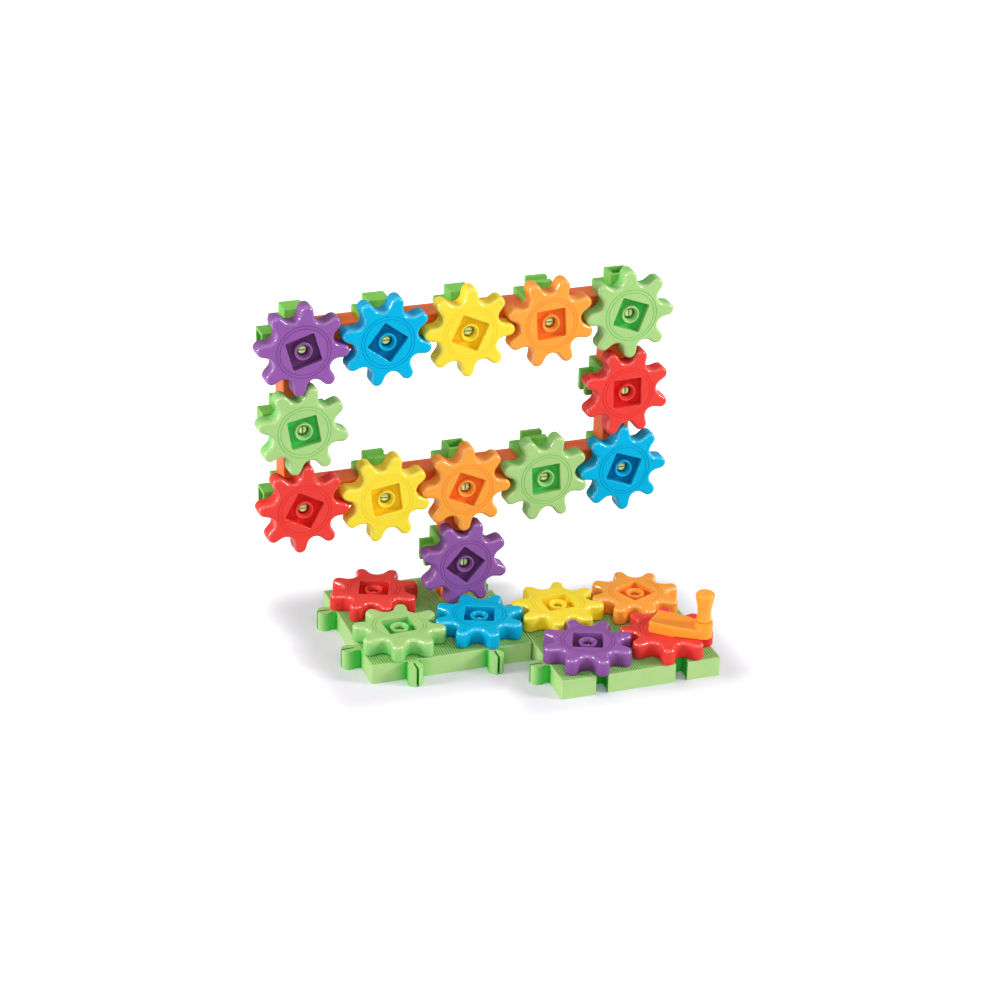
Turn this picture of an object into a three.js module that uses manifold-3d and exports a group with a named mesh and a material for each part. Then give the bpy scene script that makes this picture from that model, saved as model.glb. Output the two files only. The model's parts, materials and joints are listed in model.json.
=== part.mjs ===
// A crank gear toy: two interlocking base plates, a tower and a wall frame of square
// pillars, and twenty meshing eight-tooth gears that one crank turns.
// Millimetres, +Z up, +X along the wall to the right, -Y towards the front.
// The origin is under the foot of the tower, on the surface that the toy stands on.

import * as THREE from 'three';
import { mergeVertices } from 'three/addons/utils/BufferGeometryUtils.js';
import Module from 'manifold-3d';

const wasm = await Module();
wasm.setup();

// Grid: every gear sits on one square grid, and neighbours mesh
const pitch = 48;
const plateCells = 2;
const wallColumns = 5;

// Clearances
const runningGap = 0.4;
const slidingGap = 0.3;
const seatGap = 0.1;
const rootGap = 0.6;
const overrun = 1;

// Gear teeth
const teeth = 8;
const addendum = 2.6;
const dedendum = 5.8;
const tipRoundShare = 0.196;
const rootRoundShare = 0.244;
const tipMiddleShare = 0.33;
const rootMiddleShare = 0.58;
const gearThickness = 10;
const rolledEdge = 1.4;

// Gear centre: square socket in front, cored pocket behind, and the hub that turns on the pin
const socketSide = 17.2;
const socketDepth = 4.6;
const socketCorner = 1.4;
const webThickness = 1.6;
const hubRadius = 5.2;
const hubRecess = 0.8;
const boreRadius = 3.8;
const coreWall = 2.6;
const coreClear = 2.4;

// Split pins, on the plates and on the front of every connector
const pinSlot = 0.9;
const pinSlotDepth = 5;
const pinTipSunk = 3;
const pinTipLength = 2.4;
const pinTipRadius = 2.1;

// Square pillars and the wells that hold them
const pillarSide = 16;
const pillarWall = 1.4;
const wellDepthBack = 7.6;

// Connectors
const crossMesh = 1.8;
const collarHeight = 1.6;
const collarRadius = 6.2;
const armReach = 8;
const cupWall = 1.6;
const cupFloor = 1.2;
const forkGap = 5.6;
const edgeBreak = 0.6;

// Base plates
const plateThickness = 11.5;
const plateGap = 0.5;
const plateSkin = 2.4;
const plateWall = 2.4;
const ribThickness = 1.8;
const wellFloor = 3.9;
const wellWall = 1.8;

// Tabs and slots that lock one plate to the next
const tabHeadWidth = 9.2;
const tabHeadLength = 8.8;
const tabNeckWidth = 6.6;
const tabNeckLength = 3.2;
const tabNose = 2.2;
const tabSlit = 1.2;
const slotRoom = 0.6;

// Crank arm and its knob
const armThickness = 5.8;
const crankReach = 22;
const armTaperStart = 10;
const bossRadius = 5.2;
const bossHeight = 3.8;
const spindleRadius = 2.2;
const spindleLength = 12;
const knobHeight = 17.6;
const knobFootRadius = 4.3;
const knobWaistRadius = 3.9;
const knobTopRadius = 5.5;
const knobCrown = 1.4;
const knobDimple = 0.8;
const knobWaistHeightShare = 0.3;
const knobShoulderHeightShare = 0.68;
const knobShoulderFlareShare = 0.45;

// Angles in degrees: where the teeth of the wall, the tower and the base stand at rest
const wallLead = 37;
const wallPlay = 2;
const towerLead = 24.5;
const baseLead = -1;
const quarterTurn = 90;
const eighthTurn = 45;
const degree = Math.PI / 180;

// Facet counts
const roundSides = 8;
const coreSides = 12;
const bossSides = 16;
const knobSides = 12;

// Sizes that follow from the values above
const toothPitchArc = (Math.PI * pitch) / teeth;
const tipRadius = pitch / 2 + addendum;
const rootRadius = pitch / 2 - dedendum;
const halfTooth = 180 / teeth;
const pinRadius = boreRadius - runningGap;
const hubSide = pitch + 2 * (crossMesh - addendum - gearThickness - runningGap - collarHeight);
const hubHalf = hubSide / 2;
const gearBackY = hubHalf + collarHeight + runningGap;
const wellSide = pillarSide + 2 * slidingGap;
const pillarBore = pillarSide - 2 * pillarWall;
const armSide = pillarBore - 2 * slidingGap;
const pillarLength = pitch - hubSide - 2 * seatGap;
const gearFloorZ = plateThickness + runningGap;
const towerAxisZ = gearFloorZ + gearThickness + rootGap + rootRadius;
const footPillarLength = towerAxisZ - hubHalf - wellFloor - 2 * seatGap;
const plateSide = plateCells * pitch - plateGap;
const crankPlug = socketSide - 2 * slidingGap;
const plugDepth = socketDepth - 2 * slidingGap;
const slotMouth = tabNeckWidth + slotRoom;
const slotChamber = tabHeadWidth + slotRoom;
const slotMouthDepth = tabNeckLength - plateGap - slotRoom;
const slotDepth = tabNeckLength + tabHeadLength + slotRoom - plateGap;

// Solids: three.js shapes are closed meshes, and manifold-3d joins and cuts them

function toSolid(geometry) {
  const plain = geometry.clone();
  plain.deleteAttribute('normal');
  plain.deleteAttribute('uv');
  const merged = mergeVertices(plain);
  const mesh = new wasm.Mesh({
    numProp: 3,
    vertProperties: new Float32Array(merged.attributes.position.array),
    triVerts: new Uint32Array(merged.index.array),
  });
  return new wasm.Manifold(mesh);
}

function toGeometry(solid) {
  const mesh = solid.getMesh();
  const shared = new THREE.BufferGeometry();
  shared.setAttribute('position', new THREE.BufferAttribute(mesh.vertProperties, mesh.numProp));
  shared.setIndex(new THREE.BufferAttribute(mesh.triVerts, 1));
  const geometry = shared.toNonIndexed();
  geometry.computeVertexNormals();
  return geometry;
}

// A block from its lowest to its highest corner
function block(low, high) {
  const size = new THREE.Vector3().subVectors(high, low);
  const middle = new THREE.Vector3().addVectors(low, high).multiplyScalar(0.5);
  const geometry = new THREE.BoxGeometry(size.x, size.y, size.z);
  return toSolid(geometry.translate(middle.x, middle.y, middle.z));
}

// A square post standing on z = low, centred on the Z axis
function post(side, low, high) {
  const half = side / 2;
  return block(new THREE.Vector3(-half, -half, low), new THREE.Vector3(half, half, high));
}

// A straight prism of an outline, from z = low up to z = high
function prism(outline, low, high) {
  const geometry = new THREE.ExtrudeGeometry(new THREE.Shape(outline), {
    depth: high - low,
    bevelEnabled: false,
  });
  return toSolid(geometry.translate(0, 0, low));
}

// A turned shape about the Z axis, from [radius, height] pairs that start and end on the axis
function turned(profile, sides) {
  const points = profile.map(([radius, height]) => new THREE.Vector2(radius, height));
  return toSolid(new THREE.LatheGeometry(points, sides).rotateX(Math.PI / 2));
}

function drum(radius, low, high, sides = roundSides) {
  return turned([[0, low], [radius, low], [radius, high], [0, high]], sides);
}

// A skin over equal rings of points, closed by a flat cap at each end
function skin(rings) {
  const count = rings[0].length;
  const vertices = rings.flat().flatMap((point) => [point.x, point.y, point.z]);
  const faces = [];
  for (let level = 0; level < rings.length - 1; level += 1) {
    for (let i = 0; i < count; i += 1) {
      const next = (i + 1) % count;
      const low = level * count;
      const high = low + count;
      faces.push(low + i, low + next, high + next, low + i, high + next, high + i);
    }
  }
  const flat = rings[0].map((point) => new THREE.Vector2(point.x, point.y));
  const top = (rings.length - 1) * count;
  for (const [a, b, c] of THREE.ShapeUtils.triangulateShape(flat, [])) {
    faces.push(a, c, b, top + a, top + b, top + c);
  }
  const geometry = new THREE.BufferGeometry();
  geometry.setAttribute('position', new THREE.Float32BufferAttribute(vertices, 3));
  geometry.setIndex(faces);
  return toSolid(geometry);
}

// Tooth outline: a round tip and a round root joined by a straight flank, drawn in by inset.
// A tip has points where it meets the flanks and nearer its middle, a root has two

const origin = new THREE.Vector2();

function onCircle(centre, radius, angle) {
  const point = new THREE.Vector2(Math.cos(angle), Math.sin(angle));
  return point.multiplyScalar(radius).add(centre);
}

function gearOutline(inset) {
  const tipRound = tipRoundShare * toothPitchArc;
  const rootRound = rootRoundShare * toothPitchArc;
  const half = halfTooth * degree;
  const tipCentre = new THREE.Vector2(tipRadius - tipRound, 0);
  const rootCentre = new THREE.Vector2(rootRadius + rootRound, 0).rotateAround(origin, half);
  const line = new THREE.Vector2().subVectors(rootCentre, tipCentre);
  const swing = Math.acos(Math.min(1, (tipRound + rootRound) / line.length()));
  const flank = line.angle() - swing;
  const rootAngle = Math.PI + THREE.MathUtils.lerp(flank, half, rootMiddleShare);
  const side = [
    onCircle(tipCentre, tipRound - inset, flank * tipMiddleShare),
    onCircle(tipCentre, tipRound - inset, flank),
    onCircle(rootCentre, rootRound + inset, rootAngle),
  ];
  const mirrored = side.map((point) => new THREE.Vector2(point.x, -point.y)).reverse();
  const tooth = [...mirrored, ...side];
  const outline = [];
  for (let i = 0; i < teeth; i += 1) {
    outline.push(...tooth.map((point) => point.clone().rotateAround(origin, 2 * half * i)));
  }
  return outline;
}

function squareOutline(side, corner) {
  const half = side / 2;
  const cut = half - corner;
  const shape = [];
  for (let quarter = 0; quarter < 4; quarter += 1) {
    const turn = (Math.PI / 2) * quarter;
    shape.push(new THREE.Vector2(half, -cut).rotateAround(origin, turn));
    shape.push(new THREE.Vector2(half, cut).rotateAround(origin, turn));
  }
  return shape;
}

// Gear: lies in the XY plane, back face on z = 0, one tooth along +X, a socket corner in a valley
function makeGear(diagonal) {
  const edgeSteps = [
    [0, 0],
    [gearThickness - rolledEdge, 0],
    [gearThickness, rolledEdge],
  ];
  const rings = edgeSteps.map(([height, inset]) => (
    gearOutline(inset).map((point) => new THREE.Vector3(point.x, point.y, height))
  ));
  const socketTurn = halfTooth + eighthTurn + (diagonal ? eighthTurn : 0);
  const socket = prism(
    squareOutline(socketSide, socketCorner),
    gearThickness - socketDepth,
    gearThickness + overrun,
  ).rotate([0, 0, socketTurn]);
  const coreTop = gearThickness - socketDepth - webThickness;
  const core = drum(rootRadius - coreWall, -overrun, coreTop, coreSides);
  const coreHub = drum(hubRadius + coreClear, -2 * overrun, gearThickness);
  const hub = drum(hubRadius, 0, gearThickness - hubRecess);
  const bore = drum(boreRadius, -overrun, gearThickness + overrun);
  return skin(rings).subtract(socket).subtract(core.subtract(coreHub)).add(hub).subtract(bore);
}

// Split pin: stands on z = base, tip at z = tip, the slot along X
function makePin(base, tip) {
  const shank = turned([
    [0, base],
    [pinRadius, base],
    [pinRadius, tip - pinTipLength],
    [pinTipRadius, tip],
    [0, tip],
  ], roundSides);
  const slot = block(
    new THREE.Vector3(-pinRadius - overrun, -pinSlot / 2, tip - pinSlotDepth),
    new THREE.Vector3(pinRadius + overrun, pinSlot / 2, tip + overrun),
  );
  return shank.subtract(slot);
}

// Connector arms: each reaches out along +X from the hub
function armBlock(halfHeight, halfDepth, from, to) {
  return block(
    new THREE.Vector3(from, -halfHeight, -halfDepth),
    new THREE.Vector3(to, halfHeight, halfDepth),
  );
}

function makePlug() {
  const half = armSide / 2;
  const outline = [
    new THREE.Vector2(hubHalf - overrun, -half),
    new THREE.Vector2(hubHalf + armReach - edgeBreak, -half),
    new THREE.Vector2(hubHalf + armReach, -half + edgeBreak),
    new THREE.Vector2(hubHalf + armReach, half - edgeBreak),
    new THREE.Vector2(hubHalf + armReach - edgeBreak, half),
    new THREE.Vector2(hubHalf - overrun, half),
  ];
  return prism(outline, -half, half);
}

function makeFork() {
  const gap = armBlock(armSide, forkGap / 2, hubHalf, hubHalf + armReach + overrun);
  return makePlug().subtract(gap);
}

function makeCup() {
  const half = armSide / 2;
  const room = half - cupWall;
  const cup = armBlock(half, half, hubHalf - overrun, hubHalf + armReach);
  return cup.subtract(armBlock(room, room, hubHalf + cupFloor, hubHalf + armReach + overrun));
}

// Connector: lies with its pin along +Z, cups along X, its plug along +Y and its fork along -Y
function makeConnector() {
  const hub = post(hubSide, -hubHalf, hubHalf);
  const well = post(wellSide, -hubHalf - overrun, wellDepthBack - hubHalf);
  const collar = drum(collarRadius, hubHalf - overrun, hubHalf + collarHeight, coreSides);
  const hubFace = gearBackY + gearThickness - hubRecess;
  const pin = makePin(hubHalf - overrun, hubFace - pinTipSunk);
  return hub.subtract(well)
    .add(collar)
    .add(pin)
    .add(makeCup())
    .add(makeCup().rotate([0, 0, 2 * quarterTurn]))
    .add(makePlug().rotate([0, 0, quarterTurn]))
    .add(makeFork().rotate([0, 0, -quarterTurn]));
}

// Pillar: a square tube standing on z = 0
function makePillar(length) {
  return post(pillarSide, 0, length).subtract(post(pillarBore, -overrun, length + overrun));
}

// Tab: reaches out along +X from x = 0, a split head on a narrower neck
function makeTab() {
  const neck = tabNeckWidth / 2;
  const head = tabHeadWidth / 2;
  const reach = tabNeckLength + tabHeadLength;
  const outline = [
    new THREE.Vector2(-overrun, -neck),
    new THREE.Vector2(tabNeckLength, -neck),
    new THREE.Vector2(tabNeckLength + slotRoom, -head),
    new THREE.Vector2(reach - tabNose, -head),
    new THREE.Vector2(reach, -tabNose),
    new THREE.Vector2(reach, tabNose),
    new THREE.Vector2(reach - tabNose, head),
    new THREE.Vector2(tabNeckLength + slotRoom, head),
    new THREE.Vector2(tabNeckLength, neck),
    new THREE.Vector2(-overrun, neck),
  ];
  const slit = block(
    new THREE.Vector3(tabNeckLength, -tabSlit / 2, -overrun),
    new THREE.Vector3(reach + overrun, tabSlit / 2, plateThickness + overrun),
  );
  return prism(outline, 0, plateThickness).subtract(slit);
}

// Slot: cut inwards along -X from x = 0, a narrow mouth and a wider chamber
function makeSlot() {
  const mouth = block(
    new THREE.Vector3(-slotMouthDepth - overrun, -slotMouth / 2, -overrun),
    new THREE.Vector3(overrun, slotMouth / 2, plateThickness + overrun),
  );
  const chamber = block(
    new THREE.Vector3(-slotDepth, -slotChamber / 2, -overrun),
    new THREE.Vector3(-slotMouthDepth, slotChamber / 2, plateThickness + overrun),
  );
  return mouth.add(chamber);
}

function makeSlotCasing() {
  const half = slotChamber / 2 + plateWall;
  return block(
    new THREE.Vector3(-slotDepth - plateWall, -half, 0),
    new THREE.Vector3(0, half, plateThickness),
  );
}

// Base plate: centred on the origin, standing on z = 0, tabs on -X and -Y, slots on +X and +Y
function makePlate() {
  const half = plateSide / 2;
  const inner = plateSide - 2 * plateWall;
  const sides = [...Array(plateCells).keys()].map((i) => (i - (plateCells - 1) / 2) * pitch);
  const cells = sides.flatMap((x) => sides.map((y) => [x, y]));
  const ceiling = plateThickness - plateSkin;
  const rib = block(
    new THREE.Vector3(-half, -ribThickness / 2, -overrun),
    new THREE.Vector3(half, ribThickness / 2, ceiling),
  );
  let hollow = post(inner, -overrun, ceiling).subtract(rib).subtract(rib.rotate([0, 0, quarterTurn]));
  for (const [x, y] of cells) {
    hollow = hollow.subtract(post(wellSide + 2 * wellWall, -overrun, plateThickness).translate([x, y, 0]));
  }
  for (const at of sides) {
    hollow = hollow.subtract(makeSlotCasing().translate([half, at, 0]));
    hollow = hollow.subtract(makeSlotCasing().rotate([0, 0, quarterTurn]).translate([at, half, 0]));
  }
  let plate = post(plateSide, 0, plateThickness).subtract(hollow);
  const pinTip = gearFloorZ + gearThickness - hubRecess - pinTipSunk;
  for (const [x, y] of cells) {
    plate = plate.subtract(post(wellSide, wellFloor, plateThickness + overrun).translate([x, y, 0]));
    plate = plate.add(makePin(wellFloor - overrun, pinTip).translate([x, y, 0]));
  }
  for (const at of sides) {
    plate = plate.subtract(makeSlot().translate([half, at, 0]));
    plate = plate.subtract(makeSlot().rotate([0, 0, quarterTurn]).translate([at, half, 0]));
    plate = plate.add(makeTab().rotate([0, 0, 2 * quarterTurn]).translate([-half, at, 0]));
    plate = plate.add(makeTab().rotate([0, 0, -quarterTurn]).translate([at, -half, 0]));
  }
  return plate;
}

function arcPoints(centre, radius, from, to, steps) {
  const points = [];
  for (let i = 0; i <= steps; i += 1) {
    points.push(onCircle(centre, radius, THREE.MathUtils.lerp(from, to, i / steps)));
  }
  return points;
}

// Crank arm: underside on z = 0, the square plug below it, the boss at the far end along +X
function makeCrankArm() {
  const rear = crankPlug / 2;
  const far = new THREE.Vector2(crankReach, 0);
  const lean = Math.atan2(rear - bossRadius, crankReach - armTaperStart);
  const quarter = Math.PI / 2 - lean;
  const outline = [
    new THREE.Vector2(-rear, -rear),
    new THREE.Vector2(armTaperStart, -rear),
    ...arcPoints(far, bossRadius, -quarter, quarter, bossSides / 2),
    new THREE.Vector2(armTaperStart, rear),
    new THREE.Vector2(-rear, rear),
  ];
  const arm = prism(outline, 0, armThickness);
  const plug = prism(squareOutline(crankPlug, socketCorner), -plugDepth, overrun);
  const hubRoom = drum(hubRadius + runningGap, -plugDepth - overrun, runningGap, coreSides);
  const boss = drum(bossRadius, armThickness - overrun, armThickness + bossHeight, bossSides);
  const spindleTop = armThickness + bossHeight + spindleLength;
  const spindle = drum(spindleRadius, armThickness, spindleTop);
  const bossAndSpindle = boss.add(spindle).translate([crankReach, 0, 0]);
  return arm.add(plug).subtract(hubRoom).add(bossAndSpindle);
}

// Crank knob: a waisted grip about the Z axis, foot on z = 0, hollow for the spindle
function makeKnob() {
  const crownRadius = knobTopRadius - knobCrown;
  const flare = knobShoulderFlareShare * (knobTopRadius - knobWaistRadius);
  const body = turned([
    [0, 0],
    [knobFootRadius, 0],
    [knobWaistRadius, knobHeight * knobWaistHeightShare],
    [knobWaistRadius + flare, knobHeight * knobShoulderHeightShare],
    [knobTopRadius, knobHeight - knobCrown],
    [crownRadius, knobHeight],
    [0, knobHeight],
  ], knobSides);
  const dimple = drum(knobDimple, knobHeight - knobDimple, knobHeight + overrun);
  const bore = drum(spindleRadius + slidingGap, -overrun, spindleLength + runningGap);
  return body.subtract(bore).subtract(dimple);
}

// Materials: glossy moulded plastic in the toy's colours
function plastic(color) {
  return new THREE.MeshStandardMaterial({ color, roughness: 0.32, metalness: 0 });
}

const paints = {
  red: plastic(0xf03e37),
  green: plastic(0xafd78c),
  blue: plastic(0x00b4e4),
  yellow: plastic(0xfce432),
  orange: plastic(0xfca83e),
  purple: plastic(0x915aa5),
  plate: plastic(0x8fc965),
  connector: plastic(0x78be50),
  pillar: plastic(0xf08255),
  crank: plastic(0xffa537),
};

// Assembly

const toy = new THREE.Group();
const columnX = (column) => (column - 1) * pitch;
const rowY = (row) => row * pitch;
const levelZ = (level) => towerAxisZ + (level + 1) * pitch;

function place(geometry, name, paint, parent = toy) {
  const mesh = new THREE.Mesh(geometry, paints[paint]);
  mesh.name = name;
  parent.add(mesh);
  return mesh;
}

// A group whose +Z faces the front and whose +Y points up, for what stands in the wall
function wallSeat(column, level) {
  const seat = new THREE.Group();
  seat.position.set(columnX(column), 0, levelZ(level));
  seat.rotation.x = Math.PI / 2;
  toy.add(seat);
  return seat;
}

// Plates: the right one is the left one turned a quarter clockwise
const plateGeometry = toGeometry(makePlate());
const platePlaces = [
  { name: 'base_plate_left', column: 0.5, row: -0.5, turn: 0 },
  { name: 'base_plate_right', column: 2.5, row: -1.5, turn: -quarterTurn },
];
for (const { name, column, row, turn } of platePlaces) {
  const plate = place(plateGeometry, name, 'plate');
  plate.position.set(columnX(column), rowY(row), 0);
  plate.rotation.z = turn * degree;
}

// Gears: those that mesh show opposite leads, and the socket sits straight or on the diagonal
const gearGeometry = {
  straight: toGeometry(makeGear(false)),
  diagonal: toGeometry(makeGear(true)),
};
const isOdd = (a, b) => Math.abs(a + b) % 2 === 1;
const oppositeLead = (lead) => halfTooth - lead;

const baseGears = [
  { name: 'gear_base_red', column: 0, row: 0, socket: 'straight', paint: 'red' },
  { name: 'gear_base_green', column: 0, row: -1, socket: 'straight', paint: 'green' },
  { name: 'gear_base_blue', column: 1, row: -1, socket: 'straight', paint: 'blue' },
  { name: 'gear_base_yellow', column: 2, row: -1, socket: 'straight', paint: 'yellow' },
  { name: 'gear_base_orange', column: 3, row: -1, socket: 'diagonal', paint: 'orange' },
  { name: 'gear_base_purple', column: 2, row: -2, socket: 'straight', paint: 'purple' },
  { name: 'gear_crank_red', column: 3, row: -2, socket: 'diagonal', paint: 'red' },
];
for (const { name, column, row, socket, paint } of baseGears) {
  const gear = place(gearGeometry[socket], name, paint);
  gear.position.set(columnX(column), rowY(row), gearFloorZ);
  gear.rotation.z = (isOdd(column, row) ? oppositeLead(baseLead) : baseLead) * degree;
}

// The wall: each place has a connector and a gear; up and cups say how the connector is turned
const wallPlaces = [
  { where: 'top_1', column: -1, level: 2, paint: 'purple', socket: 'straight', up: 'plug' },
  { where: 'top_2', column: 0, level: 2, paint: 'blue', socket: 'straight', up: 'plug' },
  { where: 'top_3', column: 1, level: 2, paint: 'yellow', socket: 'diagonal', up: 'plug' },
  { where: 'top_4', column: 2, level: 2, paint: 'orange', socket: 'diagonal', up: 'fork' },
  { where: 'top_5', column: 3, level: 2, paint: 'green', socket: 'diagonal', up: 'cup_plug_right' },
  { where: 'left', column: -1, level: 1, paint: 'green', socket: 'diagonal', up: 'cup_plug_left' },
  { where: 'right', column: 3, level: 1, paint: 'red', socket: 'diagonal', up: 'cup_plug_right' },
  { where: 'bottom_1', column: -1, level: 0, paint: 'red', socket: 'diagonal', up: 'plug' },
  { where: 'bottom_2', column: 0, level: 0, paint: 'yellow', socket: 'diagonal', up: 'fork' },
  { where: 'bottom_3', column: 1, level: 0, paint: 'orange', socket: 'diagonal', up: 'cup_plug_left' },
  { where: 'bottom_4', column: 2, level: 0, paint: 'green', socket: 'diagonal', up: 'fork' },
  { where: 'bottom_5', column: 3, level: 0, paint: 'blue', socket: 'diagonal', up: 'plug' },
  { where: 'tower', column: 1, level: -1, paint: 'purple', socket: 'diagonal', up: 'cup_plug_right' },
];
const connectorTurns = {
  plug: 0,
  fork: 2 * quarterTurn,
  cup_plug_left: quarterTurn,
  cup_plug_right: -quarterTurn,
};
const connectorGeometry = toGeometry(makeConnector());

function wallGearLead(column, level) {
  if (level < 0) {
    return towerLead;
  }
  const lead = wallLead + wallPlay * (column + 1);
  return isOdd(column, level) ? lead : oppositeLead(lead);
}

for (const { where, column, level, paint, socket, up } of wallPlaces) {
  const seat = wallSeat(column, level);
  const connector = place(connectorGeometry, `connector_${where}`, 'connector', seat);
  connector.rotation.z = connectorTurns[up] * degree;
  const gear = place(gearGeometry[socket], `gear_${where}_${paint}`, paint, seat);
  gear.position.z = gearBackY;
  gear.rotation.z = wallGearLead(column, level) * degree;
}

// Pillars: level ones run to the next column, upright ones to the next level up
const pillarGeometry = toGeometry(makePillar(pillarLength));
const levelPillars = [
  { name: 'pillar_top', level: 2 },
  { name: 'pillar_bottom', level: 0 },
];
for (const { name, level } of levelPillars) {
  for (let i = 0; i < wallColumns - 1; i += 1) {
    const pillar = place(pillarGeometry, `${name}_${i + 1}`, 'pillar');
    pillar.position.set(columnX(i - 1) + hubHalf + seatGap, 0, levelZ(level));
    pillar.rotation.y = Math.PI / 2;
  }
}
const uprightPillars = [
  { name: 'pillar_left_lower', column: -1, level: 0 },
  { name: 'pillar_left_upper', column: -1, level: 1 },
  { name: 'pillar_right_lower', column: 3, level: 0 },
  { name: 'pillar_right_upper', column: 3, level: 1 },
  { name: 'pillar_tower_upper', column: 1, level: -1 },
];
for (const { name, column, level } of uprightPillars) {
  const pillar = place(pillarGeometry, name, 'pillar');
  pillar.position.set(columnX(column), 0, levelZ(level) + hubHalf + seatGap);
}
const footPillar = place(toGeometry(makePillar(footPillarLength)), 'pillar_tower_foot', 'pillar');
footPillar.position.z = wellFloor + seatGap;

// Crank: the arm sits square in the socket of the red gear at the front right
const crankTurn = oppositeLead(baseLead) + halfTooth - quarterTurn;
const crank = new THREE.Group();
crank.position.set(columnX(3), rowY(-2), gearFloorZ + gearThickness + slidingGap);
crank.rotation.z = crankTurn * degree;
toy.add(crank);
place(toGeometry(makeCrankArm()), 'crank_arm', 'crank', crank);
const knob = place(toGeometry(makeKnob()), 'crank_knob', 'crank', crank);
knob.position.set(crankReach, 0, armThickness + bossHeight + slidingGap);

export default toy;
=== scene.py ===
# A crank gear toy in glossy moulded plastic: gears on split pins, base plates with a fine
# waffle top, connectors, square pillars and a crank. Each new piece stands for one CAD node.

import json
import math

import bmesh
import bpy
from mathutils import Matrix, Vector

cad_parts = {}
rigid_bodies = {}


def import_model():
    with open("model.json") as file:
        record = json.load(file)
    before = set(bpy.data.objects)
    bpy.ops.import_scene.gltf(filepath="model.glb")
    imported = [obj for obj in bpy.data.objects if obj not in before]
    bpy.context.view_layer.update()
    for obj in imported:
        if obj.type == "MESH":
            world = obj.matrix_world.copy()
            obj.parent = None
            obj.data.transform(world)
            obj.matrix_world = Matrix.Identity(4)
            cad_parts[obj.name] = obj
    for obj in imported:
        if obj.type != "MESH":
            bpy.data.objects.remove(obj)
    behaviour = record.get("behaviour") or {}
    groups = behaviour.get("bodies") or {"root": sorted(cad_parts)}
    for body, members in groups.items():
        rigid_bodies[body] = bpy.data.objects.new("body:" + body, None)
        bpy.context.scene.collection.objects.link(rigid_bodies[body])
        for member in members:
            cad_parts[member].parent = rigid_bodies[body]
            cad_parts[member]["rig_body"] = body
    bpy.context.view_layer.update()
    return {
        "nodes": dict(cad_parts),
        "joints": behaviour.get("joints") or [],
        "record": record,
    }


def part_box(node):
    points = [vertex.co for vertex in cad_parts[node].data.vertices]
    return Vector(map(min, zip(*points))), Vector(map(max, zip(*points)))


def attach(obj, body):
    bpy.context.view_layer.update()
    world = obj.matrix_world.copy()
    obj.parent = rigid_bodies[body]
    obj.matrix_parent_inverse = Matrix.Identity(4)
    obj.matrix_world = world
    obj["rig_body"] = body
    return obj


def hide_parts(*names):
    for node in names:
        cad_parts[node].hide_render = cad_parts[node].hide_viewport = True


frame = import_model()

bl_info = {
    "name": "Crank gear toy",
    "version": (1, 0, 0),
    "blender": (4, 5, 0),
    "location": "View3D > Sidebar > Gear toy",
    "description": "Models the moulded pieces of a crank gear toy on its packed frame",
    "category": "Add Mesh",
}

MM = 0.001
OVERRUN = 1 * MM
SAME = 0.01 * MM


# Sizes and colours that a user would change

def size(name, description, millimetres):
    return bpy.props.FloatProperty(
        name=name,
        description=description,
        default=millimetres * MM,
        min=0,
        precision=5,
        subtype="DISTANCE",
        unit="LENGTH",
    )


def colour(name, description, red, green, blue):
    return bpy.props.FloatVectorProperty(
        name=name,
        description=description,
        default=(red, green, blue, 1),
        size=4,
        min=0,
        max=1,
        subtype="COLOR",
    )


class GearSizes(bpy.types.PropertyGroup):
    teeth: bpy.props.IntProperty(name="Teeth", description="Teeth on each gear", default=8, min=6)
    tip_radius: size("Tip radius", "From the axis to the tips of the teeth", 26.6)
    root_radius: size("Root radius", "From the axis to the bottom between two teeth", 18.2)
    tip_round: size("Tip rounding", "Radius of a tooth's round tip", 3.69)
    root_round: size("Root rounding", "Radius of the round bottom between two teeth", 4.6)
    thickness: size("Thickness", "From the back face to the front face", 10)
    rolled_edge: size("Rolled edge", "Rounding of the outline's front edge", 2.0)
    back_edge: size("Back edge", "Rounding of the outline's back edge", 0.9)
    socket_side: size("Socket side", "Width of the square socket in the front", 17.2)
    socket_depth: size("Socket depth", "Depth of the square socket", 4.6)
    socket_corner: size("Socket corner", "Rounding of the socket's four corners", 0.9)
    rim_round: size("Rim rounding", "Rounding of the socket's rim", 0.3)
    hub_radius: size("Hub radius", "Outer radius of the hub in the socket", 5.2)
    hub_recess: size("Hub recess", "How far the hub ends below the front face", 0.8)
    bore_radius: size("Bore radius", "Radius of the hole that turns on the pin", 3.8)
    hub_round: size("Hub rounding", "Rounding of the hub's rim and foot", 0.45)
    core_outer: size("Core outer radius", "Outer radius of the hollow in the back", 15.6)
    core_inner: size("Core inner radius", "Inner radius of the hollow in the back", 7.6)
    core_depth: size("Core depth", "Depth of the hollow in the back", 3.8)
    rib: size("Back rib", "Thickness of the ribs in the hollow back", 1.0)
    mouth_radius: size("Mouth radius", "Radius of the bore's mouth", 4.2)
    throat_radius: size("Throat radius", "Radius of the narrow throat under the mouth", 3.3)
    throat_depth: size("Throat depth", "From the hub's rim down to the throat", 2)
    ring_inner: size("Inner ring", "Radius of the inner engraved ring", 13.6)
    ring_outer: size("Outer ring", "Radius of the outer engraved ring", 15.3)
    ring_width: size("Ring width", "Half the width of an engraved ring", 0.3)


class PinSizes(bpy.types.PropertyGroup):
    radius: size("Radius", "Radius of a split pin", 3.4)
    tip_radius: size("Tip radius", "Radius of the pin's tip", 2.1)
    tip_length: size("Tip length", "Length of the cone at the tip", 2.4)
    tip_round: size("Tip rounding", "Rounding of the tip's rim", 0.35)
    slot: size("Slot", "Width of the slot that splits the pin", 0.9)
    slot_depth: size("Slot depth", "Depth of the slot", 5)
    below_gear: size("Below gear", "From the gear's front face down to the tip", 3.8)


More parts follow.
